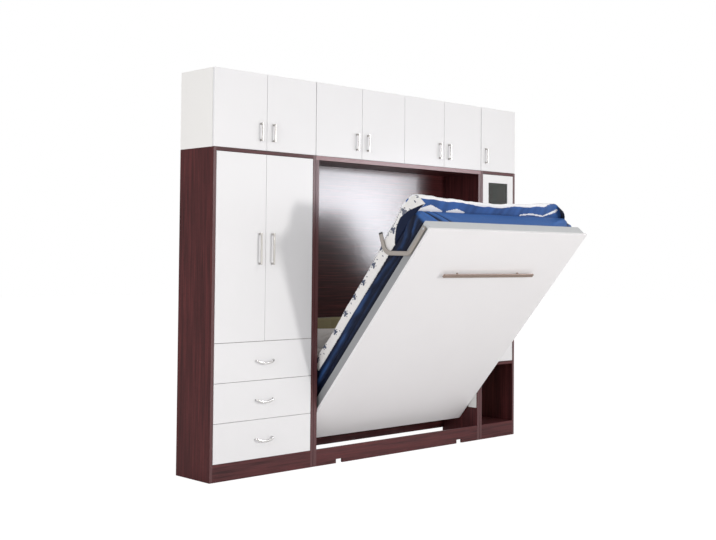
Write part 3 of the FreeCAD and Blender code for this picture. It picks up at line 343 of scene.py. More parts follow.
@dataclass(frozen=True)
class GrainedFoil(Finish):
    """Printed mahogany foil on board: long dark pores and fine streaks in red-brown under a clear layer.

    The pores are drawn wider than the real 0.3 mm, so that they show. Numbers along the grain are per metre.
    The faces that look straight forward have a glossier coat, and where a front colour is given they are
    painted that paler colour, as the lamps' highlight on them.
    """

    gloss: Pair = (-0.06, 0.08)
    relief: Pair = (0.25, 0.0004)
    dark: str = "331214"
    light: str = "5f2b2c"
    streak_mm: float = 9.0
    pore_mm: float = 2.4
    broad_along: float = 1.2
    streak_along: float = 3.0
    pore_along: float = 22.0
    open_pore: Pair = (0.3, 0.42)
    pore_tone: float = 0.62
    clear_coat: float = 0.4
    coat_roughness: float = 0.3
    front_highlight: str = ""
    edge_coat: float = 0.5

    def paint(self, tree: Tree, shader: Node, place: Node) -> None:
        """Broad streaks, fine streaks and pores, all stretched along the grain.

        Args:
            tree: The material's nodes.
            shader: Its principled shader.
            place: Object coordinates, with the grain as Z.
        """
        streak, pore = 1000.0 / self.streak_mm, 1000.0 / self.pore_mm
        noises = []
        for across, along, detail in ((streak / 4, self.broad_along, {"Detail": 3.0, "Distortion": 0.6}),
                                      (streak, self.streak_along, {"Detail": 4.0}),
                                      (pore, self.pore_along, {"Detail": 2.0})):
            stretched = add(tree, "Mapping", {"Scale": (across, across, along), "Vector": place})
            noises.append(add(tree, "TexNoise", {"Scale": 1.0, "Vector": stretched} | detail))
        broad, fine, pores = noises
        half = add(tree, "Math", {"operation": "MULTIPLY", 0: fine, 1: 0.55})
        both = add(tree, "Math", {"operation": "MULTIPLY_ADD", 0: broad, 1: 0.45, 2: half})
        ramp = add(tree, "ValToRGB", {"Fac": both})
        stops = ramp.color_ramp.elements
        for stop, position, colour in zip(stops, (0.34, 0.66), (self.dark, self.light)):
            stop.position = position
            stop.color = linear(colour)
        stops.new(0.5).color = linear(self.colour)
        open_pores = add(tree, "MapRange", {"From Min": self.open_pore[0], "From Max": self.open_pore[1],
                                            "To Min": self.pore_tone, "To Max": 1.0, "Value": pores})
        grained = add(tree, "Mix", TINT | {6: ramp, 7: open_pores}).outputs[2]
        fit(tree, shader, {"Specular IOR Level": 0.22, "Coat Weight": self.clear_coat,
                           "Coat Roughness": self.coat_roughness})
        # Painted highlight: faces that look straight forward are mixed to a paler colour, as the lamps' sheen
        # on them. Their glossier coat is real gloss.
        if self.front_highlight:
            facing = add(tree, "SeparateXYZ", {0: add(tree, "TexCoord").outputs["Normal"]})
            front = add(tree, "MapRange", {"From Min": -0.8, "From Max": -0.95, "Value": facing.outputs[1]})
            band = add(tree, "Mix", TINT | {6: linear(self.front_highlight), 7: open_pores}).outputs[2]
            grained = add(tree, "Mix", BLEND | {0: front, 6: grained, 7: band}).outputs[2]
            glazed = add(tree, "MapRange", {"To Min": self.clear_coat, "To Max": self.edge_coat,
                                            "Value": front})
            fit(tree, shader, {"Coat Weight": glazed})
        height = add(tree, "Math", {"operation": "ADD", 0: fine, 1: open_pores})
        fit(tree, shader, {"Coat Normal": self.cover(tree, shader, grained, None, fine, height)})


@dataclass(frozen=True)
class BrushedMetal(Finish):
    """Satin steel or zinc: fine drawn lines along its length that stretch the lights, and dull spots.

    The lines are drawn coarser than the real 0.1 mm, so that they show. The number along them is per metre.
    """

    metallic: float = 1.0
    tone: Pair = (0.86, 1.04)
    gloss: Pair = (-0.08, 0.1)
    relief: Pair = (0.12, 0.0003)
    line_mm: float = 1.6
    line_along: float = 12.0
    clouds_per_metre: float = 14.0

    def paint(self, tree: Tree, shader: Node, place: Node) -> None:
        """Drawn lines in the gloss and relief, clouds in the tone.

        Args:
            tree: The material's nodes.
            shader: Its principled shader.
            place: Object coordinates, with the lines' way as Z.
        """
        scale = 1000 / self.line_mm
        stretched = add(tree, "Mapping", {"Scale": (scale, scale, self.line_along), "Vector": place})
        lines = add(tree, "TexNoise", {"Scale": 1.0, "Detail": 3.0, "Vector": stretched})
        clouds = add(tree, "TexNoise", {"Scale": self.clouds_per_metre, "Detail": 4.0, "Vector": place})
        self.cover(tree, shader, linear(self.colour), clouds, lines, lines)


@dataclass(frozen=True)
class PowderCoat(Finish):
    """Baked powder paint on steel: an even satin skin with a fine pebble and rubbed, brighter marks.

    The pebble is drawn coarser than the real 0.5 mm, so that it shows.
    """

    tone: Pair = (0.9, 1.05)
    gloss: Pair = (-0.1, 0.08)
    relief: Pair = (0.15, 0.0003)
    pebble_mm: float = 2.0
    clouds_per_metre: float = 9.0

    def paint(self, tree: Tree, shader: Node, place: Node) -> None:
        """Pebble relief, uneven gloss and a cloudy tone.

        Args:
            tree: The material's nodes.
            shader: Its principled shader.
            place: Object coordinates.
        """
        pebble = add(tree, "TexVoronoi", {"Scale": 1000.0 / self.pebble_mm, "Vector": place})
        clouds = add(tree, "TexNoise", {"Scale": self.clouds_per_metre, "Detail": 5.0, "Roughness": 0.65,
                                        "Vector": place})
        self.cover(tree, shader, linear(self.colour), clouds, clouds, pebble)


@dataclass(frozen=True)
class PlainWood(Finish):
    """Birch or pressed board: pale wood with soft growth bands along its length.

    The number along the bands is per metre.
    """

    relief: Pair = (0.2, 0.0004)
    light: str = "d9bd92"
    band_mm: float = 7.0
    band_along: float = 2.5

    def paint(self, tree: Tree, shader: Node, place: Node) -> None:
        """Growth bands and a fine nap.

        Args:
            tree: The material's nodes.
            shader: Its principled shader.
            place: Object coordinates, with the bands' way as Z.
        """
        scale = 1000 / self.band_mm
        stretched = add(tree, "Mapping", {"Scale": (scale, scale, self.band_along), "Vector": place})
        bands = add(tree, "TexNoise", {"Scale": 1.0, "Detail": 4.0, "Distortion": 0.8, "Vector": stretched})
        ramp = add(tree, "ValToRGB", {"Fac": bands})
        for stop, position, colour in zip(ramp.color_ramp.elements, (0.3, 0.7), (self.colour, self.light)):
            stop.position = position
            stop.color = linear(colour)
        self.cover(tree, shader, ramp, None, None, bands)


@dataclass(frozen=True)
class WovenCloth(Finish):
    """Woven cloth: crossed threads, a soft fuzz at grazing light and slight changes of tone.

    The threads are drawn coarser than the real 0.3 mm, so that they show in a close view.
    """

    tone: Pair = (0.9, 1.05)
    relief: Pair = (0.25, 0.0004)
    thread_mm: float = 1.6
    slubs_per_metre: float = 60.0
    fuzz: float = 0.3
    shine: float = 0.3

    def cloth_colour(self, tree: Tree) -> Any:
        """The colour before the threads' own tone, as a value or a socket."""
        return linear(self.colour)

    def paint(self, tree: Tree, shader: Node, place: Node) -> None:
        """Crossed threads, slubs and fuzz.

        Args:
            tree: The material's nodes.
            shader: Its principled shader.
            place: Object coordinates, with the warp's way as Z.
        """
        scale = 1000.0 / self.thread_mm / (2 * math.pi) * 2
        warp, weft = (add(tree, "TexWave", {"wave_type": "BANDS", "bands_direction": way, "Scale": scale,
                                            "Distortion": 0.4, "Vector": place}) for way in ("X", "Z"))
        cross = add(tree, "Math", {"operation": "MULTIPLY", 0: warp.outputs[1], 1: weft.outputs[1]})
        slubs = add(tree, "TexNoise", {"Scale": self.slubs_per_metre, "Detail": 5.0, "Vector": place})
        self.cover(tree, shader, self.cloth_colour(tree), slubs, None, cross)
        fit(tree, shader, {"Sheen Weight": self.fuzz, "Sheen Roughness": 0.4,
                           "Specular IOR Level": self.shine})


@dataclass(frozen=True)
class SateenSheet(WovenCloth):
    """Dyed navy sateen, near black as painted shade, mixed to a paler blue as painted light.

    The piece's pale attribute paints light and shade: high on the foot end, which faces the lamps, and on the
    folds' ridges as highlights, and low in the valleys and towards the sides' edges as shade.
    """

    pale: str = "3f6bae"

    def cloth_colour(self, tree: Tree) -> Any:
        """The near-black dye, mixed with its paler, lit tone by the pale attribute, which paints light and
        shade.
        """
        pale_share = add(tree, "Attribute", {"attribute_name": "pale"}).outputs["Fac"]
        return add(tree, "Mix", BLEND | {0: pale_share, 6: linear(self.colour), 7: linear(self.pale)}).outputs[2]


@dataclass(frozen=True)
class SprigCotton(WovenCloth):
    """Printed cotton: small navy leaf pairs in staggered rows with lines of short dashes, blue on its lining.

    The piece's own UV map is in metres over the cloth. Its lining attribute is 1 where the blue side shows.
    Its pale attribute marks the white side's plain hem at the foot, and paints light and shade on the blue
    side:
    paler at the foot as lit, dark navy on the sides as shade. Each leaf is a shift, a lean in radians and the
    slimness of an ellipse, in shares of the print's cell.
    """

    ink: str = "36425e"
    # The lining's two blues are shaded and lit copies of one dye: dark navy as painted shade on the duvet's
    # sides, paler blue as painted light at its foot.
    lining: str = "080f27"
    lit_lining: str = "3a66ab"
    hem: str = "f4f4f6"
    cell: float = 0.155
    fray: float = 0.006
    frays_per_metre: float = 130.0
    drift: Point = (0.08, 0.28, 0.0)
    leaves_at: Point = (0.41, 0.36, 0.0)
    most_turn: float = 0.9
    row_at: float = 0.565
    row_half: float = 0.018
    row_waves: float = 7.0
    row_sway: float = 0.02
    dashes_in_cell: float = 9.0
    leaves: tuple[tuple[Point, float, Point], ...] = (
        ((-0.055, 0.0, 0.0), 0.75, (15.0, 9.0, 0.0)), ((0.06, 0.01, 0.0), -0.7, (14.0, 8.5, 0.0)),
        ((0.0, 0.10, 0.0), 0.1, (19.0, 10.0, 0.0)), ((0.125, 0.12, 0.0), 0.0, (36.0, 30.0, 0.0)),
        ((-0.13, 0.12, 0.0), 0.0, (38.0, 34.0, 0.0)), ((0.01, -0.13, 0.0), 0.0, (34.0, 26.0, 0.0)),
        ((0.02, -0.34, 0.0), 0.9, (40.0, 18.0, 0.0)), ((0.04, 0.36, 0.0), -0.8, (40.0, 20.0, 0.0)))

    def sprigs(self, tree: Tree, scaled: Node) -> Node:
        """The leaves of each cell, shifted and turned by the cell's own chance.

        Args:
            tree: The material's nodes.
            scaled: The cloth's coordinates, in cells.

        Returns:
            A node that gives 1 on a leaf and 0 elsewhere.
        """
        cell = add(tree, "VectorMath", {"operation": "FLOOR", 0: scaled})
        inside = add(tree, "VectorMath", {"operation": "FRACTION", 0: scaled})
        chance = add(tree, "TexWhiteNoise", {"noise_dimensions": "2D", "Vector": cell})
        drift = add(tree, "VectorMath", {"operation": "MULTIPLY", 0: chance.outputs[1], 1: self.drift})
        moved = add(tree, "VectorMath", {"operation": "SUBTRACT", 0: inside, 1: drift})
        centred = add(tree, "VectorMath", {"operation": "SUBTRACT", 0: moved, 1: self.leaves_at})
        turn = add(tree, "MapRange", {"To Min": -self.most_turn, "To Max": self.most_turn, "Value": chance})
        turned = add(tree, "VectorRotate", {"rotation_type": "Z_AXIS", "Vector": centred, "Angle": turn})
        sprig: Any = 0.0
        for shift, lean, slimness in self.leaves:
            seat = add(tree, "VectorMath", {"operation": "SUBTRACT", 0: turned, 1: shift})
            leant = add(tree, "VectorRotate", {"rotation_type": "Z_AXIS", "Vector": seat, "Angle": lean})
            slim = add(tree, "VectorMath", {"operation": "MULTIPLY", 0: leant, 1: slimness})
            far = add(tree, "VectorMath", {"operation": "LENGTH", 0: slim}).outputs[1]
            leaf = add(tree, "Math", {"operation": "LESS_THAN", 0: far, 1: 1.0})
            sprig = add(tree, "Math", {"operation": "MAXIMUM", 0: sprig, 1: leaf})
        return sprig

    def dashes(self, tree: Tree, scaled: Node) -> Node:
        """A wavy line of dashes in each column of cells.

        Args:
            tree: The material's nodes.
            scaled: The cloth's coordinates, in cells.

        Returns:
            A node that gives 1 on a dash and 0 elsewhere.
        """
        parts = add(tree, "SeparateXYZ", {0: scaled})
        turns = add(tree, "Math", {"operation": "MULTIPLY", 0: parts.outputs[1], 1: self.row_waves})
        sine = add(tree, "Math", {"operation": "SINE", 0: turns})
        bend = add(tree, "Math", {"operation": "MULTIPLY_ADD", 0: sine, 1: self.row_sway, 2: parts})
        lane = add(tree, "Math", {"operation": "FRACT", 0: bend})
        row = add(tree, "Math", {"operation": "COMPARE", 0: lane, 1: self.row_at, 2: self.row_half})
        steps = add(tree, "Math", {"operation": "MULTIPLY", 0: parts.outputs[1], 1: self.dashes_in_cell})
        step = add(tree, "Math", {"operation": "FRACT", 0: steps})
        dash = add(tree, "Math", {"operation": "LESS_THAN", 0: step, 1: 0.5})
        return add(tree, "Math", {"operation": "MULTIPLY", 0: row, 1: dash})

    def cloth_colour(self, tree: Tree) -> Any:
        """White ground, sprigs, dashes, and the blue lining by the lining attribute, painted pale as lit at
        the foot and dark as shade on the sides.

        Args:
            tree: The material's nodes.

        Returns:
            The socket that gives the colour.
        """
        flat = add(tree, "UVMap")
        frayed = add(tree, "TexNoise", {"Scale": self.frays_per_metre, "Detail": 2.0, "Vector": flat})
        loose = add(tree, "VectorMath", {"operation": "SUBTRACT", 0: frayed.outputs[1], 1: (0.5, 0.5, 0.5)})
        small = add(tree, "VectorMath", {"operation": "SCALE", 0: loose, 3: self.fray})
        wavy = add(tree, "VectorMath", {"operation": "ADD", 0: flat, 1: small})
        scaled = add(tree, "VectorMath", {"operation": "SCALE", 0: wavy, 3: 1.0 / self.cell})
        inked = add(tree, "Math", {"operation": "MAXIMUM", 0: self.sprigs(tree, scaled),
                                   1: self.dashes(tree, scaled)})
        pale_share = add(tree, "Attribute", {"attribute_name": "pale"}).outputs["Fac"]
        at_hem = add(tree, "Math", {"operation": "MULTIPLY", 0: pale_share, 1: 3.0})
        ground = add(tree, "Mix", BLEND | {0: at_hem, 6: linear(self.colour), 7: linear(self.hem)}).outputs[2]
        print_mask = add(tree, "Math", {"operation": "SUBTRACT", 0: inked, 1: at_hem})
        printed = add(tree, "Mix", BLEND | {0: print_mask, 6: ground, 7: linear(self.ink)}).outputs[2]
        # Painted light and shade on the lining: the pale mark mixes its dark, shaded blue with its lit blue.
        lit_and_shaded_lining = {6: linear(self.lining), 7: linear(self.lit_lining)}
        blue = add(tree, "Mix", BLEND | {0: pale_share} | lit_and_shaded_lining).outputs[2]
        side = add(tree, "Attribute", {"attribute_name": "lining"}).outputs["Fac"]
        edge = add(tree, "MapRange", {"From Min": 0.4, "From Max": 0.6, "Value": side})
        return add(tree, "Mix", BLEND | {0: edge, 6: printed, 7: blue}).outputs[2]


@dataclass(frozen=True)
class WindowGlass(Finish):
    """Clear float glass with a faint green body and a few rubbed marks in its gloss."""

    refraction: float = 1.5
    marks_per_metre: float = 12.0
    most_rough: float = 0.05

    def paint(self, tree: Tree, shader: Node, place: Node) -> None:
        """Clear body and faint marks.

        Args:
            tree: The material's nodes.
            shader: Its principled shader.
            place: Object coordinates.
        """
        marks = add(tree, "TexNoise", {"Scale": self.marks_per_metre, "Detail": 5.0, "Vector": place})
        gloss = add(tree, "MapRange", {"To Min": 0.0, "To Max": self.most_rough, "Value": marks})
        fit(tree, shader, {"Roughness": gloss, "Transmission Weight": 1.0, "IOR": self.refraction})


# Door fronts, cases and bed panel: lacquer sprayed on board gives the eye an even white with soft lights
WHITE_FRONT = LacqueredBoard("lacquered_board_white", "eaeaec", 0.42)
WHITE_CASE = LacqueredBoard("lacquered_board_warm", "f3f2f0", 0.5, clear_coat=0.05)
WHITE_PANEL = LacqueredBoard("lacquered_board_bed", "edecee", 0.38, grain=Grain.ALONG_BED)
# Carcass boards: printed foil gives a dark red-brown with long pores; the glossy front edges are painted
# paler, as the lamps' highlight on them
MAHOGANY_UP = GrainedFoil("mahogany_foil_upright", "4a1f21", 0.55, clear_coat=0.06, front_highlight="5a3436")
MAHOGANY_ACROSS = GrainedFoil("mahogany_foil_across", "532628", 0.5, grain=Grain.ACROSS, clear_coat=0.12)
# The header's front face is painted much paler, as the lamps' highlight on it.
MAHOGANY_HEADER = GrainedFoil("mahogany_foil_header", "532628", 0.5, grain=Grain.ACROSS, clear_coat=0.12,
                              front_highlight="8a6568")
# The niche's back: the same foil under a polished layer, in which the soft lamp shows as a broad pale field
MAHOGANY_BACK = GrainedFoil("mahogany_foil_high_gloss", "3e1a1c", 0.3, grain=Grain.ACROSS, clear_coat=0.9,
                            coat_roughness=0.2, relief=(0.35, 0.0004), streak_mm=7.0)
# Thin backs and bed slats: bare pressed board and birch, matt and pale
HARDBOARD = PlainWood("hardboard_back", "8d7f70", 0.8, grain=Grain.ACROSS, light="a4968a", band_mm=3.0)
BIRCH = PlainWood("birch_slat", "c4a271", 0.55, grain=Grain.ACROSS)
# Handles and fittings: brushed or plated metal, bright along one line
HANDLE_STEEL = BrushedMetal("brushed_steel_handle", "c3c1bd", 0.34)
PULL_CHROME = BrushedMetal("satin_chrome_pull", "e8e7e5", 0.22, grain=Grain.ACROSS)
# The bed handle's steel is tinted brown as a painted reflection.
BED_HANDLE_STEEL = BrushedMetal("brushed_steel_bed_handle", "a8958a", 0.4, grain=Grain.ACROSS)
ZINC = BrushedMetal("zinc_plated_steel", "c0c3c6", 0.38, grain=Grain.ACROSS)
# Bed frame, legs, springs and plates: powder paint gives flat greys, black and white with a dim sheen
GREY_FRAME = PowderCoat("powder_coat_grey", "9a9c9e", 0.42)
LEG_STEEL = PowderCoat("powder_coat_warm_grey", "a39c95", 0.4, grain=Grain.ALONG_BED)
# The end rails are the frame's grey painted paler, as the light that falls on their upward faces.
FOOT_RAIL_LIT_GREY = PowderCoat("powder_coat_grey_painted_lit", "c9ccce", 0.4)
DARK_CYLINDER = PowderCoat("powder_coat_black", "26272a", 0.35)
WHITE_ENAMEL = PowderCoat("powder_coat_white", "e6e6e4", 0.35)
# The legs' feet: moulded rubber, matt and near black
RUBBER_CAP = PowderCoat("moulded_rubber_cap", "1c1c1d", 0.6)
# Cloths: sateen gives a deep navy, darkened near black as painted shade and paler blue on the foot end and
# fold ridges as painted light; cotton and the pad's coarse weave are matt
SHEET_NAVY = SateenSheet("cotton_sateen_navy", "070d22", 0.5, fuzz=0.02, shine=0.2, grain=Grain.ALONG_BED)
DUVET_COTTON = SprigCotton("printed_cotton_duvet", "e8e6e4", 0.8, fuzz=0.2, shine=0.2, grain=Grain.ALONG_BED)
PILLOW_COTTON = WovenCloth("cotton_pillow_grey", "f8f4f1", 0.85, fuzz=0.35, shine=0.2)
PAD_CLOTH = WovenCloth("woven_pad_olive", "a39a78", 0.9, thread_mm=2.4, fuzz=0.4, shine=0.15)
# The glass door's pane: float glass, clear with a faint green
CLEAR_GLASS = WindowGlass("float_glass", "e4efe9", 0.02)


# Shapes worked out as whole arrays


def rising(value: Array, start: float, span: float) -> Array:
    """Nothing up to the start, then rising evenly to one over the span."""
    return np.clip((value - start) / span, 0, 1)


def quarter_round(share: Array) -> Array:
    """A quarter circle from nothing to one: the root of 1 - (1 - share) squared."""
    return np.sqrt(1 - (1 - np.clip(share, 0, 1)) ** 2)


def between(value: Array, profile: Profile) -> Array:
    """A value's height on a profile of places and heights joined by straight lines."""
    return np.interp(value, *np.transpose(profile))


def signed_power(value: Array, power: float) -> Array:
    """A value raised to a power, with its sign kept."""
    return np.sign(value) * np.abs(value) ** power


def grid_quads(rows: int, cols: int, wrap_rows: bool, wrap_cols: bool) -> Array:
    """Corner numbers of the quads between neighbouring points of a grid.

    Args:
        rows: Number of rows of points.
        cols: Number of points in a row.
        wrap_rows: Whether the last row joins the first.
        wrap_cols: Whether each row's last point joins its first.

    Returns:
        An array of one row of four corners for each quad.
    """
    row = np.arange(rows if wrap_rows else rows - 1)
    col = np.arange(cols if wrap_cols else cols - 1)
    r0, c0 = np.meshgrid(row, col, indexing="ij")
    r1, c1 = (r0 + 1) % rows, (c0 + 1) % cols
    corners = np.stack([r0 * cols + c0, r0 * cols + c1, r1 * cols + c1, r1 * cols + c0], axis=-1)
    return corners.reshape(-1, 4)


@dataclass
class Skin:
    """A surface on a grid of points, as rows by columns by three."""

    points: Array
    wrap_rows: bool = False
    wrap_cols: bool = False
    flat: Array | None = None
    marks: dict[str, Array] = field(default_factory=dict)
    closed: bool = True

    def mesh(self, name: str) -> Mesh:
        """The grid as a mesh, its doubles merged and its faces turned outwards.

        Args:
            name: The mesh's name.

        Returns:
            The finished mesh, smooth all over.
        """
        rows, cols = self.points.shape[:2]
        quads = grid_quads(rows, cols, self.wrap_rows, self.wrap_cols)
        made = bpy.data.meshes.new(name)
        made.vertices.add(rows * cols)
        made.vertices.foreach_set("co", self.points.reshape(-1).astype(np.float32))
        made.loops.add(quads.size)
        made.loops.foreach_set("vertex_index", quads.reshape(-1).astype(np.int32))
        made.polygons.add(len(quads))
        made.polygons.foreach_set("loop_start", (np.arange(len(quads)) * 4).astype(np.int32))
        made.update(calc_edges=True)
        if self.flat is not None:
            layer = made.uv_layers.new(name="cloth")
            spots = self.flat.reshape(-1, 2)[quads.reshape(-1)]
            layer.data.foreach_set("uv", spots.reshape(-1).astype(np.float32))
        for mark, values in self.marks.items():
            attribute = made.attributes.new(mark, "FLOAT", "POINT")
            attribute.data.foreach_set("value", values.reshape(-1).astype(np.float32))
        work = bmesh.new()
        work.from_mesh(made)
        bmesh.ops.remove_doubles(work, verts=work.verts, dist=MERGE_GAP)
        if self.closed:
            bmesh.ops.recalc_face_normals(work, faces=work.faces)
        work.to_mesh(made)
        work.free()
        made.polygons.foreach_set("use_smooth", np.ones(len(made.polygons), bool))
        made.update()
        return made


def front_and_back(front: Array, back: Array) -> Array:
    """Two sheets of points that meet at their rims, as one grid whose last row joins its first."""
    return np.concatenate([front, back[::-1]], axis=0)


def capped(points: Array) -> Array:
    """A tube's rows of points with a row at each end drawn in to that end's middle, which closes it."""
    middles = np.broadcast_to(points.mean(axis=1, keepdims=True), points.shape)
    return np.concatenate([middles[:1], points, middles[-1:]], axis=0)


def swept(path: Array, section: Array, side: Array) -> Array:
    """A section carried along a path: each path point plus the section's parts on its side and cross ways.

    Args:
        path: Points of the path.
        section: Outline of the section, as offsets along the side and across it.
        side: A direction that stays square to the path.

    Returns:
        Rows of points, one row for each point of the path.
    """
    along = np.gradient(path, axis=0)
    along /= np.linalg.norm(along, axis=1, keepdims=True)
    side = np.broadcast_to(side / np.linalg.norm(side), path.shape)
    side = side - along * np.sum(side * along, axis=1, keepdims=True)
    side /= np.linalg.norm(side, axis=1, keepdims=True)
    across = np.cross(along, side)
    return path[:, None] + side[:, None] * section[None, :, :1] + across[:, None] * section[None, :, 1:]


def oval(wide: float, thick: float, count: int, power: float) -> Array:
    """A superellipse outline: the cosine and sine of the turn, each raised to two over the power.

    Args:
        wide: Its width.
        thick: Its thickness.
        count: The number of points.
        power: 2 for an ellipse, and more for squarer ends.

    Returns:
        One row of two offsets for each point.
    """
    turn = np.linspace(0, 2 * np.pi, count, endpoint=False)
    return np.stack([wide / 2 * signed_power(np.cos(turn), 2 / power),
                     thick / 2 * signed_power(np.sin(turn), 2 / power)], axis=-1)


def smooth_noise(rng: Rng, u: Array, v: Array, waves: int, low: float, high: float) -> Array:
    """A soft random relief of about -1 to 1: a sum of sine waves with random ways, lengths and phases.

    Args:
        rng: The source of random numbers.
        u: One coordinate.
        v: The other coordinate.
        waves: The number of waves.
        low: The shortest wave's length.
        high: The longest wave's length.

    Returns:
        The relief at each place.
    """
    total = np.zeros(np.broadcast(u, v).shape)
    for _ in range(waves):
        angle = rng.uniform(0, 2 * np.pi)
        length = rng.uniform(low, high)
        place = u * np.cos(angle) + v * np.sin(angle)
        total = total + np.sin(2 * np.pi * place / length + rng.uniform(0, 6.28))
    return total / waves ** 0.5 / 1.5


@dataclass(frozen=True)
class Fold:
    """A ridge or a valley in cloth, as a line between two places with a height and a width."""

    start: Pair
    stop: Pair
    height: float
    width: float

    def relief(self, u: Array, v: Array) -> Array:
        """The fold's height: it falls off as a bell from the line, and to nothing at the line's two ends.

        Args:
            u: One coordinate over the cloth.
            v: The other coordinate.

        Returns:
            The height at each place.
        """
        du, dv = self.stop[0] - self.start[0], self.stop[1] - self.start[1]
        length = math.hypot(du, dv)
        share = ((u - self.start[0]) * du + (v - self.start[1]) * dv) / length ** 2
        off = ((u - self.start[0]) * dv - (v - self.start[1]) * du) / length
        ends = np.clip(share, 0, 1) * np.clip(1 - share, 0, 1) * 4
        return self.height * np.exp(-(off / self.width) ** 2) * np.sqrt(np.clip(ends, 0, 1))


def added_up(folds: list[Fold], u: Array, v: Array) -> Array:
    """The heights of all the folds, added up."""
    return sum(fold.relief(u, v) for fold in folds)


@dataclass(frozen=True)
class Scatter:
    """Folds with random places in a span and random lengths, leans, heights and widths."""

    count: int
    across: Pair
    along: Pair
    length: Pair
    lean: Pair
    height: float
    width: float

    def folds(self, rng: Rng) -> list[Fold]:
        """Draws the folds.

        Args:
            rng: The source of random numbers.

        Returns:
            As many folds as the count says.
        """
        drawn = []
        for _ in range(self.count):
            u, v = rng.uniform(*self.across), rng.uniform(*self.along)
            reach, turn = rng.uniform(*self.length) / 2, rng.uniform(*self.lean)
            du, dv = reach * math.cos(turn), reach * math.sin(turn)
            drawn.append(Fold((u - du, v - dv), (u + du, v + dv), self.height * rng.uniform(0.3, 1.0),
                              self.width * rng.uniform(0.6, 1.4)))
        return drawn


def place_piece(name: str, skin: Skin, body: str, finish: Finish,
                replaces: tuple[str, ...] = ()) -> Object:
    """Adds a piece to the scene, riding on its body.

    Args:
        name: The piece's name.
        skin: Its surface, in the frame's place.
        body: The body that it moves with.
        finish: What it is made of.
        replaces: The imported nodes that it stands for.

    Returns:
        The new object.
    """
    mesh = skin.mesh(name)
    made = bpy.data.objects.new(name, mesh)
    bpy.context.scene.collection.objects.link(made)
    mesh.materials.append(finish.material())
    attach(made, body)
    if replaces:
        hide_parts(*replaces)
    LOG.info("%s: %d faces on %s", name, len(mesh.polygons), body)
    return made


def dress_nodes(finish: Finish, edge: Edge, *nodes: str) -> None:
    """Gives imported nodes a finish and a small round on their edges.

    Args:
        finish: The finish.
        edge: How large the round is.
        nodes: The nodes' names.
    """
    for node in nodes:
        part = frame["nodes"][node]
        for slot in part.material_slots:
            slot.material = finish.material()
        if edge is not Edge.AS_PACKED:
            weld = part.modifiers.new("weld", "WELD")
            weld.merge_threshold = WELD_GAP
            bevel = part.modifiers.new("edges", "BEVEL")
            bevel.width = edge.value
            bevel.segments = 2
            bevel.limit_method = "ANGLE"
            bevel.angle_limit = ROUNDED_FROM
            bevel.harden_normals = True
        LOG.info("%s: %s", node, finish.name)


# Sub-assemblies


@dataclass
class Carcass:
    """The wall unit's boards, backs and ironmongery."""

    board_edge: Edge = Edge.BANDED

    def dress(self) -> None:
        """Gives each board the foil, paint or metal of the real one."""
        edge = self.board_edge
        dress_nodes(MAHOGANY_UP, edge, "wardrobe_sides", "niche_sides", "shelf_column_sides")
        dress_nodes(MAHOGANY_ACROSS, edge, "wardrobe_decks", "shelf_column_decks", "plinth")
        dress_nodes(MAHOGANY_HEADER, edge, "niche_header")
        dress_nodes(MAHOGANY_BACK, edge, "niche_back")
        dress_nodes(HARDBOARD, edge, "cabinet_backs")
        dress_nodes(WHITE_CASE, edge, "top_cabinet_sides", "top_cabinet_decks")
        dress_nodes(ZINC, Edge.AS_PACKED, "hanging_rail")
        dress_nodes(ZINC, Edge.ROLLED, "drawer_runners")
        dress_nodes(ZINC, Edge.STAMPED, "wall_brackets")
        dress_nodes(WHITE_ENAMEL, Edge.CAST, "pivot_plates", "gas_spring_anchors")


@dataclass
class Fronts:
    """Doors, drawers, their bar handles and bow pulls."""

    tops: range = range(1, 8)
    drawers: range = range(1, 4)
    pull_width: float = 0.168
    pull_sag: float = 0.02
    pull_reach: float = 0.03
    pull_wide: float = 0.015
    pull_thick: float = 0.006
    pull_end_share: float = 0.75
    pull_steps: int = 61
    arch_power: float = 0.4
    section_points: int = 20
    section_power: float = 2.6

    def dress(self) -> None:
        """Paints the doors and drawers and finishes their handles."""
        dress_nodes(WHITE_FRONT, Edge.PAINTED, "wardrobe_door_left", "wardrobe_door_right",
                    "glass_door_frame", "column_drawer", *(f"top_door_{number}" for number in self.tops),
                    *(f"wardrobe_drawer_{number}" for number in self.drawers))
        dress_nodes(CLEAR_GLASS, Edge.AS_PACKED, "glass_pane")
        dress_nodes(HANDLE_STEEL, Edge.PAINTED, "wardrobe_handle_left", "wardrobe_handle_right",
                    "glass_door_handle", *(f"top_handle_{number}" for number in self.tops))

    def pull_points(self, node: str) -> Array:
        """A bow pull: a superelliptic arch off the front, sagging as a parabola, swept with a flat oval.

        Args:
            node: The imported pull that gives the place.

        Returns:
            The swept rows of points, thinner towards the arch's two ends.
        """
        low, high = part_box(node)
        middle = (low[0] + high[0]) / 2
        turn = np.linspace(0.0, np.pi, self.pull_steps)
        half = (self.pull_width - self.pull_wide) / 2
        x = middle - half * signed_power(np.cos(turn), self.arch_power)
        y = -(self.pull_reach - self.pull_thick / 2) * np.abs(np.sin(turn)) ** self.arch_power
        z = high[2] - self.pull_wide / 2 - self.pull_sag * (1 - ((x - middle) / half) ** 2)
        path = np.stack([x, y, z], axis=-1)
        swell = self.pull_end_share + (1 - self.pull_end_share) * np.sin(turn)[:, None, None]
        section = oval(self.pull_wide, self.pull_thick, self.section_points, self.section_power)
        tube = swept(path, section, np.array([0.0, 0.0, 1.0]))
        centre = path[:, None]
        return centre + (tube - centre) * swell

    def build_pulls(self) -> None:
        """The four bow pulls."""
        places = {f"wardrobe_drawer_pull_{number}": f"drawer_{number}" for number in self.drawers}
        places["column_drawer_pull"] = "small_drawer"
        for node, body in places.items():
            skin = Skin(capped(self.pull_points(node)), wrap_cols=True)
            place_piece(f"{node}_bow", skin, body, PULL_CHROME, (node,))


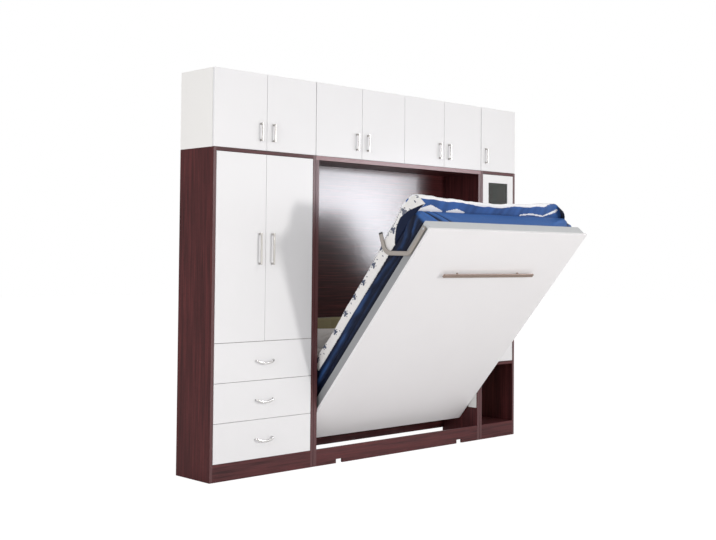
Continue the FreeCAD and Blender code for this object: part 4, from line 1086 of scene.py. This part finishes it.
@dataclass
class BedFrame:
    """The fold-down frame: panel, rails, slats, legs, gas springs and the long handle."""

    leg_pivot_along: float = 1.972
    leg_pivot_deep: float = 0.057
    bolt_radius: float = 0.009
    bolt_tall: float = 0.004
    bolt_rings: int = 7
    bolt_sides: int = 24

    def dress(self) -> None:
        """Gives the frame's nodes their finishes."""
        dress_nodes(WHITE_PANEL, Edge.BROAD, "bed_panel")
        dress_nodes(GREY_FRAME, Edge.FOLDED, "bed_side_rails")
        dress_nodes(FOOT_RAIL_LIT_GREY, Edge.PAINTED, "bed_end_rails")
        dress_nodes(BIRCH, Edge.PLANED, "bed_slats")
        dress_nodes(BED_HANDLE_STEEL, Edge.BROAD, "bed_handle")
        dress_nodes(LEG_STEEL, Edge.AS_PACKED, "leg_tubes")
        dress_nodes(ZINC, Edge.AS_PACKED, "leg_shaft", "gas_spring_rods", "gas_spring_studs")
        dress_nodes(RUBBER_CAP, Edge.AS_PACKED, "leg_feet")
        dress_nodes(DARK_CYLINDER, Edge.AS_PACKED, "gas_spring_cylinders")

    def bolt_points(self, x: float, outward: float) -> Array:
        """A domed bolt head: a circle whose radius follows a quarter round over its height.

        Args:
            x: Where its base lies across the unit.
            outward: -1 for a head that looks to the left and 1 for one that looks to the right.

        Returns:
            Rows of points from the middle of its base to its top.
        """
        rise = np.linspace(0.0, np.pi / 2, self.bolt_rings)[:, None]
        turn = np.linspace(0.0, 2 * np.pi, self.bolt_sides, endpoint=False)[None, :]
        radius = self.bolt_radius * np.cos(rise)
        out = x + outward * self.bolt_tall * np.sin(rise)
        dome = TILT.place(out, self.leg_pivot_along + radius * np.cos(turn),
                          self.leg_pivot_deep + radius * np.sin(turn))
        base = TILT.place(np.full_like(turn, x), self.leg_pivot_along, self.leg_pivot_deep)
        return np.concatenate([base, dome])

    def build_bolts(self) -> None:
        """Bolt heads over the ends of the leg shaft."""
        low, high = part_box("leg_tubes")
        for side, x, outward in (("left", low[0], -1.0), ("right", high[0], 1.0)):
            skin = Skin(self.bolt_points(x, outward), wrap_cols=True)
            place_piece(f"leg_bolt_{side}", skin, "legs", ZINC)


@dataclass
class Mattress:
    """The mattress, in the bed's own coordinates."""

    left: float = -0.6200
    right: float = 1.0860
    head: float = 0.070
    foot: float = 1.990
    low: float = 0.0915
    high: float = 0.2380
    corner: float = 0.035
    rows: int = 96
    columns: int = 128
    end_power: float = 0.16
    side_power: float = 9.0
    share_wide: float = 0.994
    share_thick: float = 0.97

    def build(self) -> None:
        """The mattress: a superelliptic outline swept from head to foot, drawn in at both ends."""
        share = np.linspace(0, np.pi, self.rows)
        draw = np.sin(share) ** self.end_power
        draw[0] = draw[-1] = 0.0
        reach = (self.foot - self.head) / 2
        along = (self.head + self.foot) / 2 - reach * signed_power(np.cos(share), self.end_power)
        outline = oval(self.right - self.left, self.high - self.low, self.columns, self.side_power)
        x = (self.left + self.right) / 2 + outline[None, :, 0] * draw[:, None] * self.share_wide
        deep = (self.low + self.high) / 2 + outline[None, :, 1] * draw[:, None] * self.share_thick
        skin = Skin(TILT.place(x, along[:, None], deep), wrap_cols=True)
        core = place_piece("mattress_core", skin, "bed", SHEET_NAVY, ("mattress",))

    def way_round(self) -> float:
        """The length of the outline: its four sides, less what the quarter rounds cut off."""
        return 2 * ((self.right - self.left) + (self.foot - self.head)) - (8 - 2 * np.pi) * self.corner

    def perimeter(self, count: int) -> tuple[Array, Array]:
        """The mattress's outline seen from above: straight sides joined by quarter rounds, at even steps.

        Args:
            count: The number of steps.

        Returns:
            The places, across and along, and the outward ways, for each step from the head's middle round by
            the left side, the foot and the right side.
        """
        r = self.corner
        bend, wide, tall = np.pi * r / 2, self.right - self.left, self.foot - self.head
        runs = [wide / 2 - r, bend, tall - 2 * r, bend, wide - 2 * r, bend, tall - 2 * r, bend, wide / 2 - r]
        ends = np.concatenate([[0.0], np.cumsum(runs)])
        at = np.linspace(0, ends[-1], count, endpoint=False)
        starts = np.array([[(self.left + self.right) / 2, self.head], [self.left, self.head + r],
                           [self.left + r, self.foot], [self.right, self.foot - r],
                           [self.right - r, self.head]])
        ahead = np.array([[-1, 0], [0, 1], [1, 0], [0, -1], [-1, 0]])
        outward = np.array([[0, -1], [-1, 0], [0, 1], [1, 0], [0, -1]])
        centres = np.array([[self.left + r, self.head + r], [self.left + r, self.foot - r],
                            [self.right - r, self.foot - r], [self.right - r, self.head + r]])
        spots, ways = np.zeros((count, 2)), np.zeros((count, 2))
        for run, (start, stop) in enumerate(zip(ends[:-1], ends[1:])):
            here = (at >= start) & (at < stop)
            gone = (at[here] - start)[:, None]
            side = run // 2
            if run % 2 == 0:
                ways[here] = outward[side]
                spots[here] = starts[side] + ahead[side] * gone
            else:
                turn = gone / r
                ways[here] = outward[side] * np.cos(turn) + outward[side + 1] * np.sin(turn)
                spots[here] = centres[side] + r * ways[here]
        return spots, ways


@dataclass
class FittedSheet:
    """The fitted sheet's band round the mattress, turned under it and over its top."""

    mattress: Mattress
    rng: Rng
    columns: int = 1100
    rows: int = 26
    tucked_under: float = 0.25
    turned_over: float = 0.3
    bend: float = 0.022
    bend_share: float = 0.16
    bulge: float = 0.004
    stand_off: float = 0.0015
    clear_under: float = 0.0008
    clear_over: float = 0.001
    fold_rise: float = 6.0
    relief_limits: Pair = (-0.007, 0.009)
    full_valley: float = 0.005
    full_ridge: float = 0.007
    # Painted light and shade on the sheet: how pale the sides, their ridges and the foot end are painted, and
    # how dark the foot's valleys are painted.
    side_pale: float = 0.03
    ridge_highlight: float = 0.36
    lit_foot: float = 0.86
    valley_shade: float = 0.80
    cloth: float = 0.0012

    def build(self) -> None:
        """The band: the outline carried from under the mattress up and over its edge, with folds.

        A point lies on the outline, moved out by a bulge that is a sine of its height and by the folds. Near
        the top and the foot of the mattress's side it is drawn in by a quarter round.
        """
        tall = self.mattress.high - self.mattress.low
        total = self.mattress.way_round()
        spots, ways = self.mattress.perimeter(self.columns)
        at = np.linspace(0, total, self.columns, endpoint=False)[None, :]
        height = np.linspace(-self.tucked_under, 1 + self.turned_over, self.rows)[:, None]
        wall = np.clip(height, 0, 1)
        out = -self.bend * (1 - quarter_round(wall / self.bend_share))
        out = out - self.bend * (1 - quarter_round((1 - wall) / self.bend_share))
        out = out + self.bulge * np.sin(np.pi * wall) - np.clip(-height, 0, None) * tall
        out = out - np.clip(height - 1, 0, None) * tall
        relief = added_up(self.folds(), at, height * tall)
        inside = np.clip(wall * self.fold_rise, 0, 1) * np.clip((1 - wall) * self.fold_rise, 0, 1)
        out = out + self.stand_off + np.clip(relief, *self.relief_limits) * inside
        deep = self.mattress.low + wall * tall
        deep = deep - self.clear_under * (height < 0) + self.clear_over * (height > 1)
        points = TILT.place(spots[:, 0] + ways[:, 0] * out, spots[:, 1] + ways[:, 1] * out, deep)
        skin = Skin(points, wrap_cols=True, closed=False,
                    marks={"pale": self.painted_light_and_shade(at, height, wall, relief, ways[:, 1])})
        band = place_piece("fitted_sheet_band", skin, "bed", SHEET_NAVY)
        thick = band.modifiers.new("cloth", "SOLIDIFY")
        thick.thickness = self.cloth
        thick.offset = 1.0

    def painted_light_and_shade(self, at: Array, height: Array, wall: Array, relief: Array, footward: Array) -> Array:
        """Painted light and shade: the foot end pale as lit but for its valleys, painted dark as shade, and
        on the sides the ridges painted pale as highlights, darker towards the sides' edges as shade.

        Args:
            at: Distance round the outline.
            height: Height over the mattress's underside, as a share of its thickness.
            wall: The same, held between nothing and one.
            relief: The folds' relief.
            footward: The part of the outward way that looks to the foot.

        Returns:
            Nothing to one, for each point.
        """
        # Painted light on the foot end and the ridges; painted shade in the foot's valleys and towards the
        # sides' top and bottom edges, under the duvet and at the rail.
        at_foot = rising(np.clip(footward, 0, 1), 0.55, 0.35) + 0 * height
        valley, ridge = np.clip(-relief / self.full_valley, 0, 1), np.clip(relief / self.full_ridge, 0, 1)
        tone = 0.5 + 0.5 * smooth_noise(self.rng, at, height * 0.6, 8, 0.12, 0.5)
        at_side = (self.side_pale + self.ridge_highlight * ridge * tone) * np.sin(np.pi * wall) ** 1.5
        on_foot = self.lit_foot + (1 - self.lit_foot) * ridge - self.valley_shade * valley
        return np.clip(at_foot * on_foot + (1 - at_foot) * at_side, 0, 1)

    def folds(self) -> list[Fold]:
        """The sheet's ridges and valleys, by distance round the outline and height over its underside.

        Each row of the table has a start and a stop, as a distance and a share of the thickness, then a
        height and a width.

        Returns:
            Long pulls along both sides, gathers at the foot's corners and small creases.
        """
        tall, total = self.mattress.high - self.mattress.low, self.mattress.way_round()
        left = (self.mattress.right - self.mattress.left) / 2
        foot = left + self.mattress.foot - self.mattress.head
        right = foot + self.mattress.right - self.mattress.left
        table = (
            (left + 0.02, 0.40, foot - 0.55, 0.62, 0.010, 0.014),
            (left + 0.02, 0.22, foot - 0.75, 0.40, -0.008, 0.012),
            (left + 0.75, 0.80, foot - 0.12, 0.42, 0.008, 0.010),
            (left + 0.35, 0.12, foot - 0.40, 0.30, 0.006, 0.008),
            (left + 1.05, 0.50, foot - 0.05, 0.20, -0.006, 0.010),
            (foot - 0.34, 0.15, foot - 0.03, 0.95, 0.009, 0.012),
            (foot - 0.27, 0.10, foot - 0.01, 0.80, -0.008, 0.009),
            (foot - 0.20, 0.06, foot + 0.01, 0.62, 0.009, 0.009),
            (foot + 0.02, 0.95, foot + 0.11, 0.05, 0.010, 0.010),
            (foot + 0.05, 0.95, foot + 0.17, 0.05, -0.009, 0.018),
            (foot + 0.09, 0.98, foot + 0.24, 0.08, 0.008, 0.010),
            (foot + 0.13, 0.98, foot + 0.27, 0.02, -0.008, 0.014),
            (foot + 0.16, 0.95, foot + 0.36, 0.15, 0.005, 0.014),
            (right - 0.30, 0.20, right - 0.03, 0.90, 0.007, 0.014),
            (right - 0.12, 0.10, right + 0.01, 0.85, -0.006, 0.012),
            (right + 0.10, 0.30, total - left - 0.2, 0.55, 0.008, 0.014),
        )
        folds = [Fold((u0, v0 * tall), (u1, v1 * tall), height, width)
                 for u0, v0, u1, v1, height, width in table]
        up = (0.1 * tall, 0.9 * tall)
        for scatter in (Scatter(34, (left, foot), up, (0.12, 0.5), (-0.09, 0.09), 0.004, 0.007),
                        Scatter(12, (foot, right), up, (0.1, 0.5), (-0.15, 0.15), 0.0022, 0.014),
                        Scatter(26, (right, total), up, (0.12, 0.5), (-0.09, 0.09), 0.004, 0.007)):
            folds += scatter.folds(self.rng)
        return folds


@dataclass
class Duvet:
    """The duvet, on the mattress's top and down its sides, in the bed's own coordinates.

    Its surfaces follow a strip across the bed: 0 to 1 up the left side, 1 to 2 over the top and 2 to 3 down
    the right side. The middle's and the rolls' profiles give depths by place along, and the sag's gives what
    is added at the foot, by place across. A name with from has the place along where a change begins, and how
    long it takes. A wave has a height, how often it turns and a start. A wedge has a middle, a half width and
    a height.
    """

    rng: Rng
    left: float = -0.6330
    right: float = 1.0990
    head: float = 0.500
    foot: float = 2.070
    low: float = 0.2400
    hang: float = 0.0352
    side: float = 0.0100
    side_columns: int = 30
    top_columns: int = 200
    rows: int = 260
    row_power: float = 0.8
    narrower_left: float = 0.050
    narrower_right: float = 0.105
    narrower_from: Pair = (1.91, 0.16)
    shoulder_wide: float = 0.030
    roll_wide: float = 0.115
    roll_blend: float = 0.05
    lip_share: float = 0.55
    lip_under: float = 0.03
    lip_power: float = 1.5
    lip_from: Pair = (1.95, 0.10)
    crown_share: float = 0.26
    wave_height: float = 0.003
    side_round: float = 0.10
    head_round: float = 0.022
    foot_round: float = 0.034
    side_width: float = 0.11
    relief_limits: Pair = (-0.006, 0.006)
    lift_limits: Pair = (-0.006, 0.003)
    push_limits: Pair = (-0.004, 0.0)
    pucker_height: float = 0.006
    pucker_from: Pair = (2.0, 0.06)
    middle: Profile = ((0.50, 0.266), (0.53, 0.271), (0.63, 0.272), (0.92, 0.272), (1.00, 0.284),
                       (1.07, 0.296), (1.36, 0.300), (1.68, 0.306), (1.85, 0.322), (1.96, 0.331),
                       (2.02, 0.330), (2.07, 0.318))
    rolled: Profile = ((0.50, 0.286), (0.60, 0.298), (0.77, 0.284), (0.90, 0.287), (1.05, 0.299),
                       (1.21, 0.300), (1.37, 0.299), (1.55, 0.304), (1.69, 0.322), (1.82, 0.318),
                       (1.93, 0.328), (2.02, 0.331), (2.07, 0.318))
    sag: Profile = ((-0.60, 0.014), (-0.50, 0.008), (-0.33, -0.011), (-0.12, -0.031), (0.08, -0.047),
                    (0.30, -0.054), (0.52, -0.038), (0.72, -0.022), (0.90, 0.010), (0.98, 0.014),
                    (1.02, 0.004))
    sag_from: Pair = (1.80, 0.16)
    side_hem: Profile = ((1.58, 0.190), (1.70, 0.198), (1.745, 0.235), (1.81, 0.272), (1.88, 0.286),
                         (1.96, 0.262), (2.03, 0.225), (2.07, 0.205))
    side_blur: float = 0.003
    hem_wide: float = 0.038
    hem_waves: tuple[Point, ...] = ((0.006, 9.0, 0.0), (0.004, 23.0, 1.0))
    hem_fade: Profile = ((0.82, 1.0), (0.93, 0.1))
    wedges: tuple[Point, ...] = ((-0.45, 0.13, 0.056), (-0.18, 0.10, 0.032))
    zigzag: Profile = ((0.54, -0.002), (0.68, 0.016), (0.84, -0.004), (0.96, 0.050), (1.0, 0.075))
    zigzag_half: Profile = ((0.90, 0.009), (0.96, 0.018))
    zigzag_span: Pair = (0.55, 1.01)
    pale_from: Pair = (1.93, 0.03)
    across_cloth: Profile = ((0, 0.0), (1, 0.085), (2, 1.80), (3, 1.885))
    print_shift: float = 0.002

    def build(self) -> None:
        """The duvet: an outer and an inner surface that meet in rounded edges.

        The outer surface rises from the lip to the crest by the shoulder, a quarter round at each side. Each
        edge closes as a quarter round of the distance from it, in shares of the edge's width.
        """
        t = np.concatenate([np.linspace(0, 1, self.side_columns, endpoint=False),
                            np.linspace(1, 2, self.top_columns, endpoint=False),
                            np.linspace(2, 3, self.side_columns)])[:, None]
        v = np.linspace(0, 1, self.rows)[None, :] ** self.row_power
        s = self.head + (self.foot - self.head) * v + 0 * t
        top, right_down = rising(t, 1, 1), rising(t, 2, 1)
        down = np.clip(1 - t, 0, 1) + right_down
        narrowing = rising(s, *self.narrower_from) ** 2
        x_left = self.left + self.narrower_left * narrowing
        x_right = self.right - self.narrower_right * narrowing
        x = x_left + (x_right - x_left) * top
        near = np.minimum(x - x_left, x_right - x)
        shoulder = quarter_round(near / self.shoulder_wide)
        crest = self.crest(x, s, near)
        rise = self.lip_share * np.clip(crest - self.low - self.lip_under, 0, 1)
        lip = self.low + rise * rising(s, *self.lip_from) ** self.lip_power * (1 - down)
        wave = smooth_noise(self.rng, x, s, 9, 0.25, 0.8)
        high = lip + (crest - lip) * (1 - self.crown_share + self.crown_share * shoulder)
        high = high - self.wave_height * (1 - wave) * shoulder
        outer_n = high - (self.hang + high - self.low) * down
        inner_n = lip - self.hang * down
        inner_x = x_left + self.side + (x_right - x_left - 2 * self.side) * top
        gap = np.minimum(rising(t, 0, self.side_round), rising(3 - t, 0, self.side_round))
        ends = np.minimum(rising(s, self.head, self.head_round), rising(self.foot - s, 0, self.foot_round))
        edge = quarter_round(gap) * quarter_round(ends)
        over_cloth = x - self.side_width * np.clip(1 - t, 0, 1) + self.side_width * right_down
        relief = np.clip(added_up(self.folds(), over_cloth, s), *self.relief_limits)
        on_top = (t > 1) & (t < 2)
        lift = np.where(on_top, np.clip(relief, *self.lift_limits) * np.clip(shoulder, 0.2, 1), 0)
        push = np.where(on_top, 0, np.clip(relief, *self.push_limits)) * np.where(t <= 1, -1, 1)
        pucker = self.pucker_height * smooth_noise(self.rng, x, 0 * s, 12, 0.05, 0.30)
        pucker = pucker * rising(s, *self.pucker_from)
        mid_x, mid_n = (inner_x + x) / 2, (inner_n + outer_n) / 2
        half_x, half_n = (x - inner_x) / 2, (outer_n - inner_n) / 2
        upper_n = mid_n + half_n * edge + lift * edge
        under_n = mid_n - half_n * edge
        upper = TILT.place(mid_x + half_x * edge + push * edge, s + pucker, upper_n)
        under = TILT.place(mid_x - half_x * edge, s + pucker, under_n)
        flat = np.stack(np.broadcast_arrays(between(t, self.across_cloth) - self.print_shift, s), axis=-1)
        skin = Skin(front_and_back(upper, under), wrap_rows=True, flat=front_and_back(flat, flat),
                    marks=self.marks(x, s, t, upper_n, under_n))
        quilt = place_piece("duvet_quilt", skin, "bed", DUVET_COTTON, ("duvet",))

    def crest(self, x: Array, s: Array, near: Array) -> Array:
        """The outer surface's depth: near each side it goes over from the middle's profile to the rolls'.

        Args:
            x: Place across.
            s: Place along.
            near: Distance from the nearer side.

        Returns:
            The depth over the top.
        """
        roll = rising(self.roll_wide - near, 0, self.roll_blend)
        roll = roll * roll * (3 - 2 * roll)
        crest = between(s, self.middle) * (1 - roll) + between(s, self.rolled) * roll
        return crest + between(x, self.sag) * rising(s, *self.sag_from)

    def marks(self, x: Array, s: Array, t: Array, upper_n: Array, under_n: Array) -> dict[str, Array]:
        """Where the duvet's blue lining shows, and its pale mark: the plain hem at the foot, and light
        painted on the lining there.

        On the tilted bed a point's height in the room goes as its depth plus 1.19 times its place along. The
        hem, the white wedges and the zigzag at the foot are bands of that height.

        Args:
            x: Place across.
            s: Place along.
            t: Place on the strip across the bed.
            upper_n: Depth of the outer surface.
            under_n: Depth of the inner surface.

        Returns:
            Both attributes, for the outer rows and then the inner rows.
        """
        rise, wedge_from, seam_at, blue_from, blur = 1.19, 1.97, 1.985, 1.99, 0.004
        outer_up, inner_up = upper_n + rise * s, under_n + rise * s
        highest = outer_up.max(axis=1, keepdims=True)
        waves = (height * np.sin(often * x + start) for height, often, start in self.hem_waves)
        hem = sum(waves, self.hem_wide) * between(x, self.hem_fade)
        outer, inner = (np.clip((highest - up - hem) / blur + 0.5, 0, 1) for up in (outer_up, inner_up))
        outer = outer * (s > blue_from) * (t >= 1) * (t <= 2)
        seam_row = int(np.argmin(np.abs(s[0] - seam_at)))
        over = inner_up - inner_up[:, seam_row:seam_row + 1]
        wedges = sum(tall * np.clip(1 - np.abs(x - middle) / half, 0, 1)
                     for middle, half, tall in self.wedges)
        on_zigzag = (np.abs(over - between(x, self.zigzag)) < between(x, self.zigzag_half))
        on_zigzag = on_zigzag & (x > self.zigzag_span[0]) & (x < self.zigzag_span[1])
        white = (((over < wedges) & (wedges > 0)) | on_zigzag) & (s > wedge_from)
        inner = np.where(s < wedge_from, 1.0, inner * (1 - white))
        on_side = np.clip((between(s, self.side_hem) - upper_n) / self.side_blur + 0.5, 0, 1)
        outer = np.where(t < 1, on_side, outer)
        # The pale mark: a small random tone on the sides; at the foot the plain hem, and the lining painted
        # pale as lit.
        noise = 0.5 + 0.5 * smooth_noise(self.rng, x, 0.3 * s, 10, 0.06, 0.35)
        at_foot = rising(s, *self.pale_from) * (0.6 + 0.4 * noise)
        pale = np.where((t < 1) | (t > 2), 0.06 * noise, at_foot)
        return {"lining": front_and_back(outer, inner), "pale": front_and_back(pale, pale)}

    def folds(self) -> list[Fold]:
        """The duvet's folds: puckers square to both sides and the foot, and a few long soft ridges.

        Returns:
            The folds, by place across and along.
        """
        all_along, all_across = (self.head, self.foot), (self.left, self.right)
        at_left, at_right = (self.left - 0.06, self.left + 0.05), (self.right - 0.05, self.right + 0.06)
        at_foot = (self.foot - 0.16, self.foot)
        folds = []
        for scatter in (Scatter(46, at_left, all_along, (0.06, 0.22), (-0.5, 0.5), 0.006, 0.014),
                        Scatter(46, at_right, all_along, (0.06, 0.22), (-0.5, 0.5), 0.006, 0.014),
                        Scatter(40, all_across, at_foot, (0.08, 0.3), (1.1, 2.0), 0.007, 0.02),
                        Scatter(60, all_across, all_along, (0.2, 0.8), (-1.6, 1.6), 0.006, 0.03)):
            folds += scatter.folds(self.rng)
        return folds


@dataclass
class Pillow:
    """A pillow that stands against the headboard pad."""

    side: str
    middle: float
    rng: Rng
    rows: int = 70
    columns: int = 110
    half_wide: float = 0.345
    half_tall: float = 0.193
    half_thick: float = 0.033
    middle_height: float = 0.8035
    seam_back: float = 0.3132
    front_limit: float = 0.2785
    outline_powers: Pair = (3.2, 2.8)
    drawn_in: Pair = (0.06, 0.16)
    swell_power: float = 0.55
    crease_limits: Pair = (-0.007, 0.006)

    def build(self) -> None:
        """The pillow: an ellipse-like swell over a rounded outline, pinched at its seam, with creases."""
        a = np.linspace(-1, 1, self.columns)[None, :]
        b = np.linspace(-1, 1, self.rows)[:, None]
        swell_a, swell_b = (np.clip(1 - np.abs(value) ** power, 0, 1) ** self.swell_power
                            for value, power in zip((a, b), self.outline_powers))
        swell = swell_a * swell_b
        from_sides, from_top = self.drawn_in
        wide = self.half_wide * a * (1 - from_sides * (1 - b ** 2) * np.abs(a) ** 3)
        tall = self.half_tall * b * (1 - from_top * np.sqrt(1 - a ** 2) * np.abs(b) ** 3)
        x, z = self.middle + wide, self.middle_height + tall
        creases = Scatter(34, (-1.0, 1.0), (-1.0, 1.0), (0.3, 1.0), (-1.2, 1.2), 0.008, 0.06)
        relief = added_up(creases.folds(self.rng), a, b)
        half = self.half_thick * swell
        front = self.seam_back - half - np.clip(relief, *self.crease_limits) * np.sqrt(swell)
        points = front_and_back(joined(x, np.maximum(front, self.front_limit), z),
                                joined(x, self.seam_back + half, z))
        pillow = place_piece(f"pillow_{self.side}", Skin(points, wrap_rows=True), "cabinet",
                             PILLOW_COTTON, ("pillows",) if self.side == "left" else ())


@dataclass
class HeadboardPad:
    """The upholstered pad on the niche's back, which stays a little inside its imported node."""

    rng: Rng
    rows: int = 60
    columns: int = 200
    seams: tuple[float, ...] = (-0.5, 0.0, 0.5)
    seam_wide: float = 0.006
    seam_deep: float = 0.006
    rim_across: Pair = (0.965, 0.035)
    rim_up: Pair = (0.88, 0.12)
    ripple_height: float = 0.001
    inside: float = 0.001
    least_inside: float = 0.0002

    def build(self) -> None:
        """The pad: a rounded rectangle swelling forward, with the dips of its three sewn upright seams."""
        low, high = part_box("headboard_pad")
        a = np.linspace(-1, 1, self.columns)[None, :]
        b = np.linspace(-1, 1, self.rows)[:, None]
        x = (low[0] + high[0]) / 2 + (high[0] - low[0]) / 2 * a
        z = (low[2] + high[2]) / 2 + (high[2] - low[2]) / 2 * b
        edge_a = np.sqrt(1 - rising(np.abs(a), *self.rim_across) ** 2)
        edge_b = np.sqrt(1 - rising(np.abs(b), *self.rim_up) ** 2)
        dips = sum(np.exp(-((a - seam) / self.seam_wide) ** 2) for seam in self.seams)
        thick = (high[1] - low[1] - self.inside) * edge_a * edge_b
        ripple = self.ripple_height * smooth_noise(self.rng, a * 0.9, b * 0.2, 6, 0.1, 0.5)
        front = high[1] - thick + self.seam_deep * dips * edge_b + ripple
        front = np.clip(front, low[1] + self.least_inside, high[1])
        points = front_and_back(joined(x, front, z), joined(x, np.full_like(front, high[1]), z))
        pad = place_piece("headboard_cushion", Skin(points, wrap_rows=True), "cabinet",
                          PAD_CLOTH, ("headboard_pad",))


@dataclass
class Bedding:
    """Mattress in a fitted sheet, duvet, pillows and headboard pad."""

    niche_middle: float = 0.233
    pillow_apart: float = 0.410
    rng: Rng = field(default_factory=lambda: np.random.default_rng(SEED))

    def build(self) -> None:
        """All the bedding, in the order in which it draws its random numbers."""
        mattress = Mattress()
        mattress.build()
        FittedSheet(mattress, self.rng).build()
        Duvet(self.rng).build()
        Pillow("left", self.niche_middle - self.pillow_apart, self.rng).build()
        Pillow("right", self.niche_middle + self.pillow_apart, self.rng).build()
        HeadboardPad(self.rng).build()


@dataclass
class Studio:
    """Camera, lamps, floor and white surround."""

    lens: float = 56.405
    shift_y: float = -0.07269
    yaw: float = 0.76245463
    pitch: float = 0.034723089
    roll: float = 0.0089016125
    eye: Point = (-6.1224, -6.1287, 1.5223)
    surround: float = 0.575
    floor_half: float = 30.0
    floor_low: float = -0.0005
    floor_glow: float = 1.12
    floor_share: float = 0.86

    def seat(self, name: str, data: Any, across: Array, over: Array, spot: Point) -> Object:
        """Adds a camera or a lamp, turned by the ways that its right side and its top look.

        Args:
            name: Its name.
            data: The camera's or lamp's data.
            across: The way of its right side.
            over: The way of its top.
            spot: Where it stands.

        Returns:
            The new object.
        """
        made = bpy.data.objects.new(name, data)
        bpy.context.scene.collection.objects.link(made)
        turn = np.eye(4)
        turn[:3, 0], turn[:3, 1], turn[:3, 2], turn[:3, 3] = across, over, np.cross(across, over), spot
        made.matrix_world = Matrix(turn.tolist())
        return made

    def camera(self) -> None:
        """A camera turned by yaw, pitch and roll, in that order."""
        level = math.cos(self.pitch)
        ahead = np.array([math.sin(self.yaw) * level, math.cos(self.yaw) * level, math.sin(self.pitch)])
        right = np.array([math.cos(self.yaw), -math.sin(self.yaw), 0.0])
        up = np.cross(right, ahead)
        cos, sin = math.cos(self.roll), math.sin(self.roll)
        data = bpy.data.cameras.new("camera")
        data.lens = self.lens
        data.shift_y = self.shift_y
        across, over = cos * right + sin * up, cos * up - sin * right
        bpy.context.scene.camera = self.seat("camera", data, across, over, self.eye)

    def lamp(self, name: str, spot: Point, aim: Point, size: Pair, watts: float, colour: str,
             diffuse: bool = True) -> None:
        """A rectangular lamp at a spot, facing its aim.

        Args:
            name: The lamp's name.
            spot: Where it stands.
            aim: The point that it faces.
            size: Its width and height.
            watts: Its power.
            colour: Its light, as sRGB hex.
            diffuse: Whether it lights surfaces, or shows in gloss alone.
        """
        data = bpy.data.lights.new(name, "AREA")
        data.shape = "RECTANGLE"
        data.size, data.size_y = size
        data.energy = watts
        data.color = linear(colour)[:3]
        back = np.array(spot, float) - np.array(aim, float)
        back /= np.linalg.norm(back)
        across = np.cross([0.0, 0.0, 1.0], back)
        across /= np.linalg.norm(across)
        self.seat(name, data, across, np.cross(back, across), spot).visible_diffuse = diffuse

    def world(self) -> None:
        """White to the camera and through glass, and a plain level of light for the rest."""
        world = bpy.data.worlds.new("studio")
        tree = cleared(world)
        white = add(tree, "Background", {"Color": linear("ffffff"), "Strength": 1.0})
        plain = add(tree, "Background", {"Color": linear("fffdfb"), "Strength": self.surround})
        mixed = add(tree, "MixShader", {0: seen_directly(tree), 1: plain, 2: white})
        add(tree, "OutputWorld", {"Surface": mixed})
        bpy.context.scene.world = world

    def floor(self) -> None:
        """A white floor that shows a soft part of the shadow to the camera."""
        x, y = np.meshgrid([-self.floor_half, self.floor_half], [-self.floor_half, self.floor_half])
        mesh = Skin(joined(x, y, self.floor_low), closed=False).mesh("floor")
        made = bpy.data.objects.new("floor", mesh)
        bpy.context.scene.collection.objects.link(made)
        material = bpy.data.materials.new("painted_floor_white")
        tree = cleared(material)
        share = add(tree, "Math", {"operation": "MULTIPLY", 0: seen_directly(tree), 1: self.floor_share})
        matte = add(tree, "BsdfDiffuse", {"Color": linear("f2f2f2")})
        glow = add(tree, "Emission", {"Color": linear("ffffff"), "Strength": self.floor_glow})
        mixed = add(tree, "MixShader", {0: share, 1: matte, 2: glow})
        add(tree, "OutputMaterial", {"Surface": mixed})
        mesh.materials.append(material)

    def build(self) -> None:
        """The whole studio."""
        self.camera()
        self.world()
        self.floor()
        self.lamp("key", (2.1, -8.6, 2.3), (-0.2, 0.0, 1.4), (0.63, 0.63), 250.0, "fffcf9")
        self.lamp("left", (-7.5, -2.5, 2.5), (-1.6, 0.2, 1.4), (4.0, 4.0), 168.0, "fdfdff")
        self.lamp("top", (0.0, -2.0, 6.5), (0.0, -0.3, 1.0), (4.0, 3.0), 14.0, "eef4ff")
        self.lamp("softbox", (3.3, -3.3, 2.03), (-0.1, 0.37, 1.85), (1.66, 1.27), 130.0, "f6f8ff",
                  diffuse=False)


def build_scene() -> None:
    """Builds the classes in order. Each reports its pieces as it adds or dresses them."""
    Carcass().dress()
    fronts = Fronts()
    fronts.dress()
    fronts.build_pulls()
    bed = BedFrame()
    bed.dress()
    bed.build_bolts()
    Bedding().build()
    Studio().build()
    bpy.context.scene.view_settings.view_transform = "Standard"


if __name__ == "__main__":
    logging.basicConfig(level=logging.INFO, format="%(message)s")
    build_scene()
